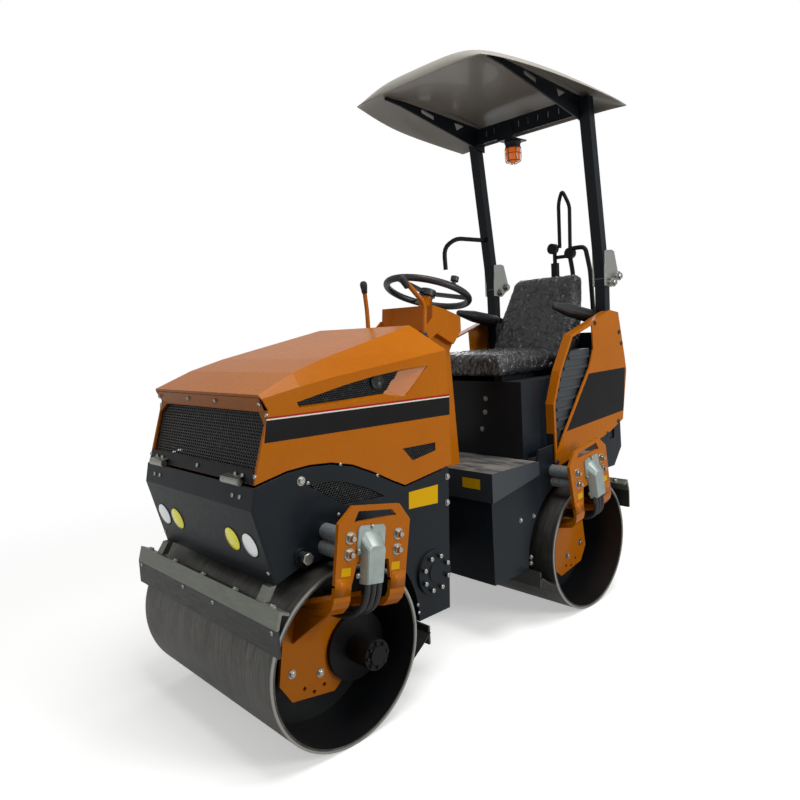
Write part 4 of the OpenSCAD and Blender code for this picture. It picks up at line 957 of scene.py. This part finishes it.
bm = bmesh.new()
for y, z in ((114, 936), (108, 877), (87, 803), (-114, 936), (-108, 877), (-87, 803)):
    hex_screw(bm, in_rear(-300, y, z), (1, 0, 0), 8)
for side in (1, -1):
    for x, z in ((-401, 468), (-314, 466), (-341, 301), (-343, 276)):
        hex_screw(bm, in_rear(x, side * 350, z), (0, side, 0), 7)
piece("seat_box_screws", bm, zinc_plate, "rear_frame")


# BEACON
# A black moulded base under the roof channel holds an amber ribbed lens in a wire cage.
amber, tree = blank("amber ribbed beacon lens")
place = add(tree, "ShaderNodeTexCoord")
ribs = add(tree, "ShaderNodeTexWave", {"Vector": place.outputs["Object"], "Scale": millimetres(30)},
           bands_direction="Z")
skin = add(tree, "ShaderNodeBump", {"Height": ribs.outputs[0], "Strength": 0.5, "Distance": 0.001})
# Painted glow: the unlit amber lens emits a faint orange light.
shade(tree, {"Base Color": linear("#D05A00"), "Roughness": 0.2, "Normal": skin.outputs[0], "Coat Weight": 0.4,
             "Coat Roughness": 0.04, "Emission Color": linear("#FF7A08"), "Emission Strength": 0.3})
beacon_at = facing(in_rear(228, -92, 2118), (0, 0, -1))
bm = bmesh.new()
turn(bm, beacon_at, [(0, 30), (35, 30), (36, 36), (35, 80), (31, 92), (22, 98), (8, 100.5), (0, 101)], 40)
piece("beacon_lens", bm, amber, "roll_bar")
bm = bmesh.new()
turn(bm, beacon_at, [(0, 0.3), (38, 0.3), (39.4, 3), (39.4, 10), (36, 13), (36, 26), (38, 29), (37, 34), (31.5, 34),
     (31, 30), (0, 30)], 40)
for i in range(6):
    a = math.tau * i / 6
    tube(bm, [beacon_at @ Vector((r * math.cos(a) / 1000, r * math.sin(a) / 1000, h / 1000)) for r, h in
         ((38, 30), (38.4, 50), (38, 80), (33.5, 96), (14, 104), (2, 104.4))], 1.4, 8, 5)
for r, h in ((38.3, 58), (34.6, 92)):
    ring = [beacon_at @ Vector((r * math.cos(math.tau * k / 24) / 1000, r * math.sin(math.tau * k / 24) / 1000,
            h / 1000)) for k in range(25)]
    tube(bm, ring, 1.3, 8, 2)
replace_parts(piece("beacon_base", bm, rubber, "roll_bar"), "beacon")


# LEVER KNOBS AND BOOTS
# Black moulded knobs are pressed on the orange levers, which leave the console in rubber boots.
bm = bmesh.new()
for at, way in ((in_rear(-800, 160, 1440), (1, 0, 1.4)), (in_rear(-712, -160, 1450), (0.1, 0, 1))):
    tip = Vector(way).normalized() * 0.048
    turn(bm, facing(at - tip, way), [(9.4, 0), (11, 2), (12.5, 14), (14.5, 28), (15, 38), (12, 46), (6, 50), (0, 51)],
         28)
for side in (1, -1):
    turn(bm, facing(in_rear(-700, side * 160, 1196), (0, 0, 1)),
         [(0, 0), (20, 0), (21, 5), (17, 9), (19, 14), (15, 18), (16.5, 23), (12.5, 27), (13.5, 32), (9.5, 38)], 28)
piece("lever_knobs", bm, rubber, "rear_frame")
bm = bmesh.new()
for side in (1, -1):
    for z in range(742, 1100, 42):
        front = -118 - (z - 690) * 14 / 210 if z < 900 else -132 + (z - 900) * 0.4 if z < 1020 else (z - 1020) * 0.98 - 84
        box(bm, [in_rear(x, side * 339.6, h) for x, h in ((front + 12, z), (182, z), (182, z + 14), (front + 12, z + 14))],
            (0, side, 0), 0.007)
bmesh.ops.bevel(bm, geom=bm.edges[:], offset=0.003, segments=2, affect="EDGES")
piece("tank_ribs", bm, tank_poly, "rear_frame")


# SEAT
# Black vinyl covers sewn over foam, with the maker's clear film still stretched over
# them: its crumples catch the light. The covers are blown out by a cloth simulation.
vinyl_film, tree = blank("black vinyl under crumpled clear film")
place = add(tree, "ShaderNodeTexCoord")
grain = add(tree, "ShaderNodeTexVoronoi", {"Vector": place.outputs["Object"], "Scale": millimetres(2.4)})
leather = add(tree, "ShaderNodeBump", {"Height": grain.outputs[0], "Strength": 0.3, "Distance": 0.0004})
bend = add(tree, "ShaderNodeTexNoise", {"Vector": place.outputs["Object"], "Scale": millimetres(90), "Detail": 3.0})
warped = add(tree, "ShaderNodeVectorMath", {0: bend.outputs["Color"], 1: (0.12, 0.12, 0.12)}, operation="MULTIPLY")
moved = add(tree, "ShaderNodeVectorMath", {0: place.outputs["Object"], 1: warped.outputs[0]}, operation="ADD")
folds = add(tree, "ShaderNodeTexVoronoi", {"Vector": moved.outputs[0], "Scale": millimetres(48), "Randomness": 1.0},
            feature="DISTANCE_TO_EDGE")
ridge = add(tree, "ShaderNodeMapRange", {0: folds.outputs[0], 1: 0.0, 2: 0.5, 3: 1.0, 4: 0.0},
            interpolation_type="SMOOTHSTEP")
crumple = add(tree, "ShaderNodeBump", {"Height": ridge.outputs[0], "Strength": 1.0, "Distance": 0.018})
shade(tree, {"Base Color": linear("#1D1E21"), "Roughness": 0.5, "Normal": leather.outputs[0], "Coat Weight": 0.75,
             "Coat Roughness": 0.12, "Coat Normal": crumple.outputs[0], "Coat IOR": 1.5})


def stuffed(name, node, pressure, cap, seam):
    """Sews a cover with the CAD pad's size and blows it up; seam tells where stitches hold it down."""
    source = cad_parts[node]
    mesh = source.data.copy()
    mesh.transform(source.matrix_world)
    made = bpy.data.objects.new(name, mesh)
    scene.collection.objects.link(made)
    voxels = made.modifiers.new("voxels", "REMESH")
    voxels.mode = "VOXEL"
    voxels.voxel_size = 0.007
    settled(made)
    mesh = made.data
    low = [min(v.co[k] for v in mesh.vertices) for k in range(3)]
    high = [max(v.co[k] for v in mesh.vertices) for k in range(3)]
    flat = [v.co.copy() for v in mesh.vertices]
    held = [i for i, v in enumerate(flat) if seam(v)]
    made.vertex_groups.new(name="stitches").add(held, 1.0, "REPLACE")
    cloth = made.modifiers.new("cloth", "CLOTH")
    cloth.settings.quality = 6
    cloth.settings.mass = 0.3
    cloth.settings.tension_stiffness = 12
    cloth.settings.compression_stiffness = 8
    cloth.settings.bending_stiffness = 0.4
    cloth.settings.use_pressure = True
    cloth.settings.uniform_pressure_force = pressure
    cloth.settings.effector_weights.gravity = 0
    cloth.settings.vertex_group_mass = "stitches"
    cloth.collision_settings.use_self_collision = False
    cloth.point_cache.frame_start = 1
    cloth.point_cache.frame_end = 20
    for step in range(1, 21):
        scene.frame_set(step)
    blown = made.evaluated_get(bpy.context.evaluated_depsgraph_get()).data
    for v, start, end in zip(mesh.vertices, flat, blown.vertices):
        move = end.co - start
        v.co = start + move * min(1.0, cap / max(move.length, 1e-9))
    made.modifiers.clear()
    scene.frame_set(1)
    for v in mesh.vertices:
        crease = noise.turbulence(v.co * 26, 3, True) - 0.55
        v.co -= v.normal * (0.002 + 0.006 * crease)
    middle = sum(flat, Vector()) / len(flat)
    for v in mesh.vertices:
        for k in range(3):
            v.co[k] = min(max(v.co[k], low[k] - 0.006), high[k] + 0.006)
    mesh.materials.clear()
    mesh.materials.append(vinyl_film)
    mesh.shade_smooth()
    finer = made.modifiers.new("finer", "SUBSURF")
    finer.levels = finer.render_levels = 1
    settled(made)
    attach(made, "rear_frame")
    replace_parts(made, node)
    return made


def cushion_seam(v):
    """Piping round the side of the cushion, and a stitched panel on its top."""
    x, y, z = -590 - v.x * 1000, v.y * 1000, v.z * 1000
    if abs(z - 1068) < 4 or z < 1038:
        return True
    if z < 1112:
        return False
    return (abs(abs(y) - 158) < 4 and -290 < x < 100) or (abs(x + 290) < 4 and abs(y) < 158) or \
        (abs(x + 95) < 4 and abs(y) < 158)


def back_seam(v):
    """Piping round the backrest, and two stitched lines across its front."""
    x, z = -590 - v.x * 1000 - 155, v.z * 1000 - 1077
    c, s = math.cos(math.radians(22)), math.sin(math.radians(22))
    u, w = x * c - z * s, x * s + z * c
    if abs(u - 50) < 4:
        return True
    if u > 20:
        return False
    return (abs(w - 120) < 4 or abs(w - 270) < 4) and abs(v.y) < 0.15 or abs(abs(v.y) - 0.15) < 0.004 and 40 < w < 360


stuffed("seat_cushion_cover", "seat_cushion", 4, 0.016, cushion_seam)
stuffed("seat_back_cover", "seat_back", 4, 0.016, back_seam)

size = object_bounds()
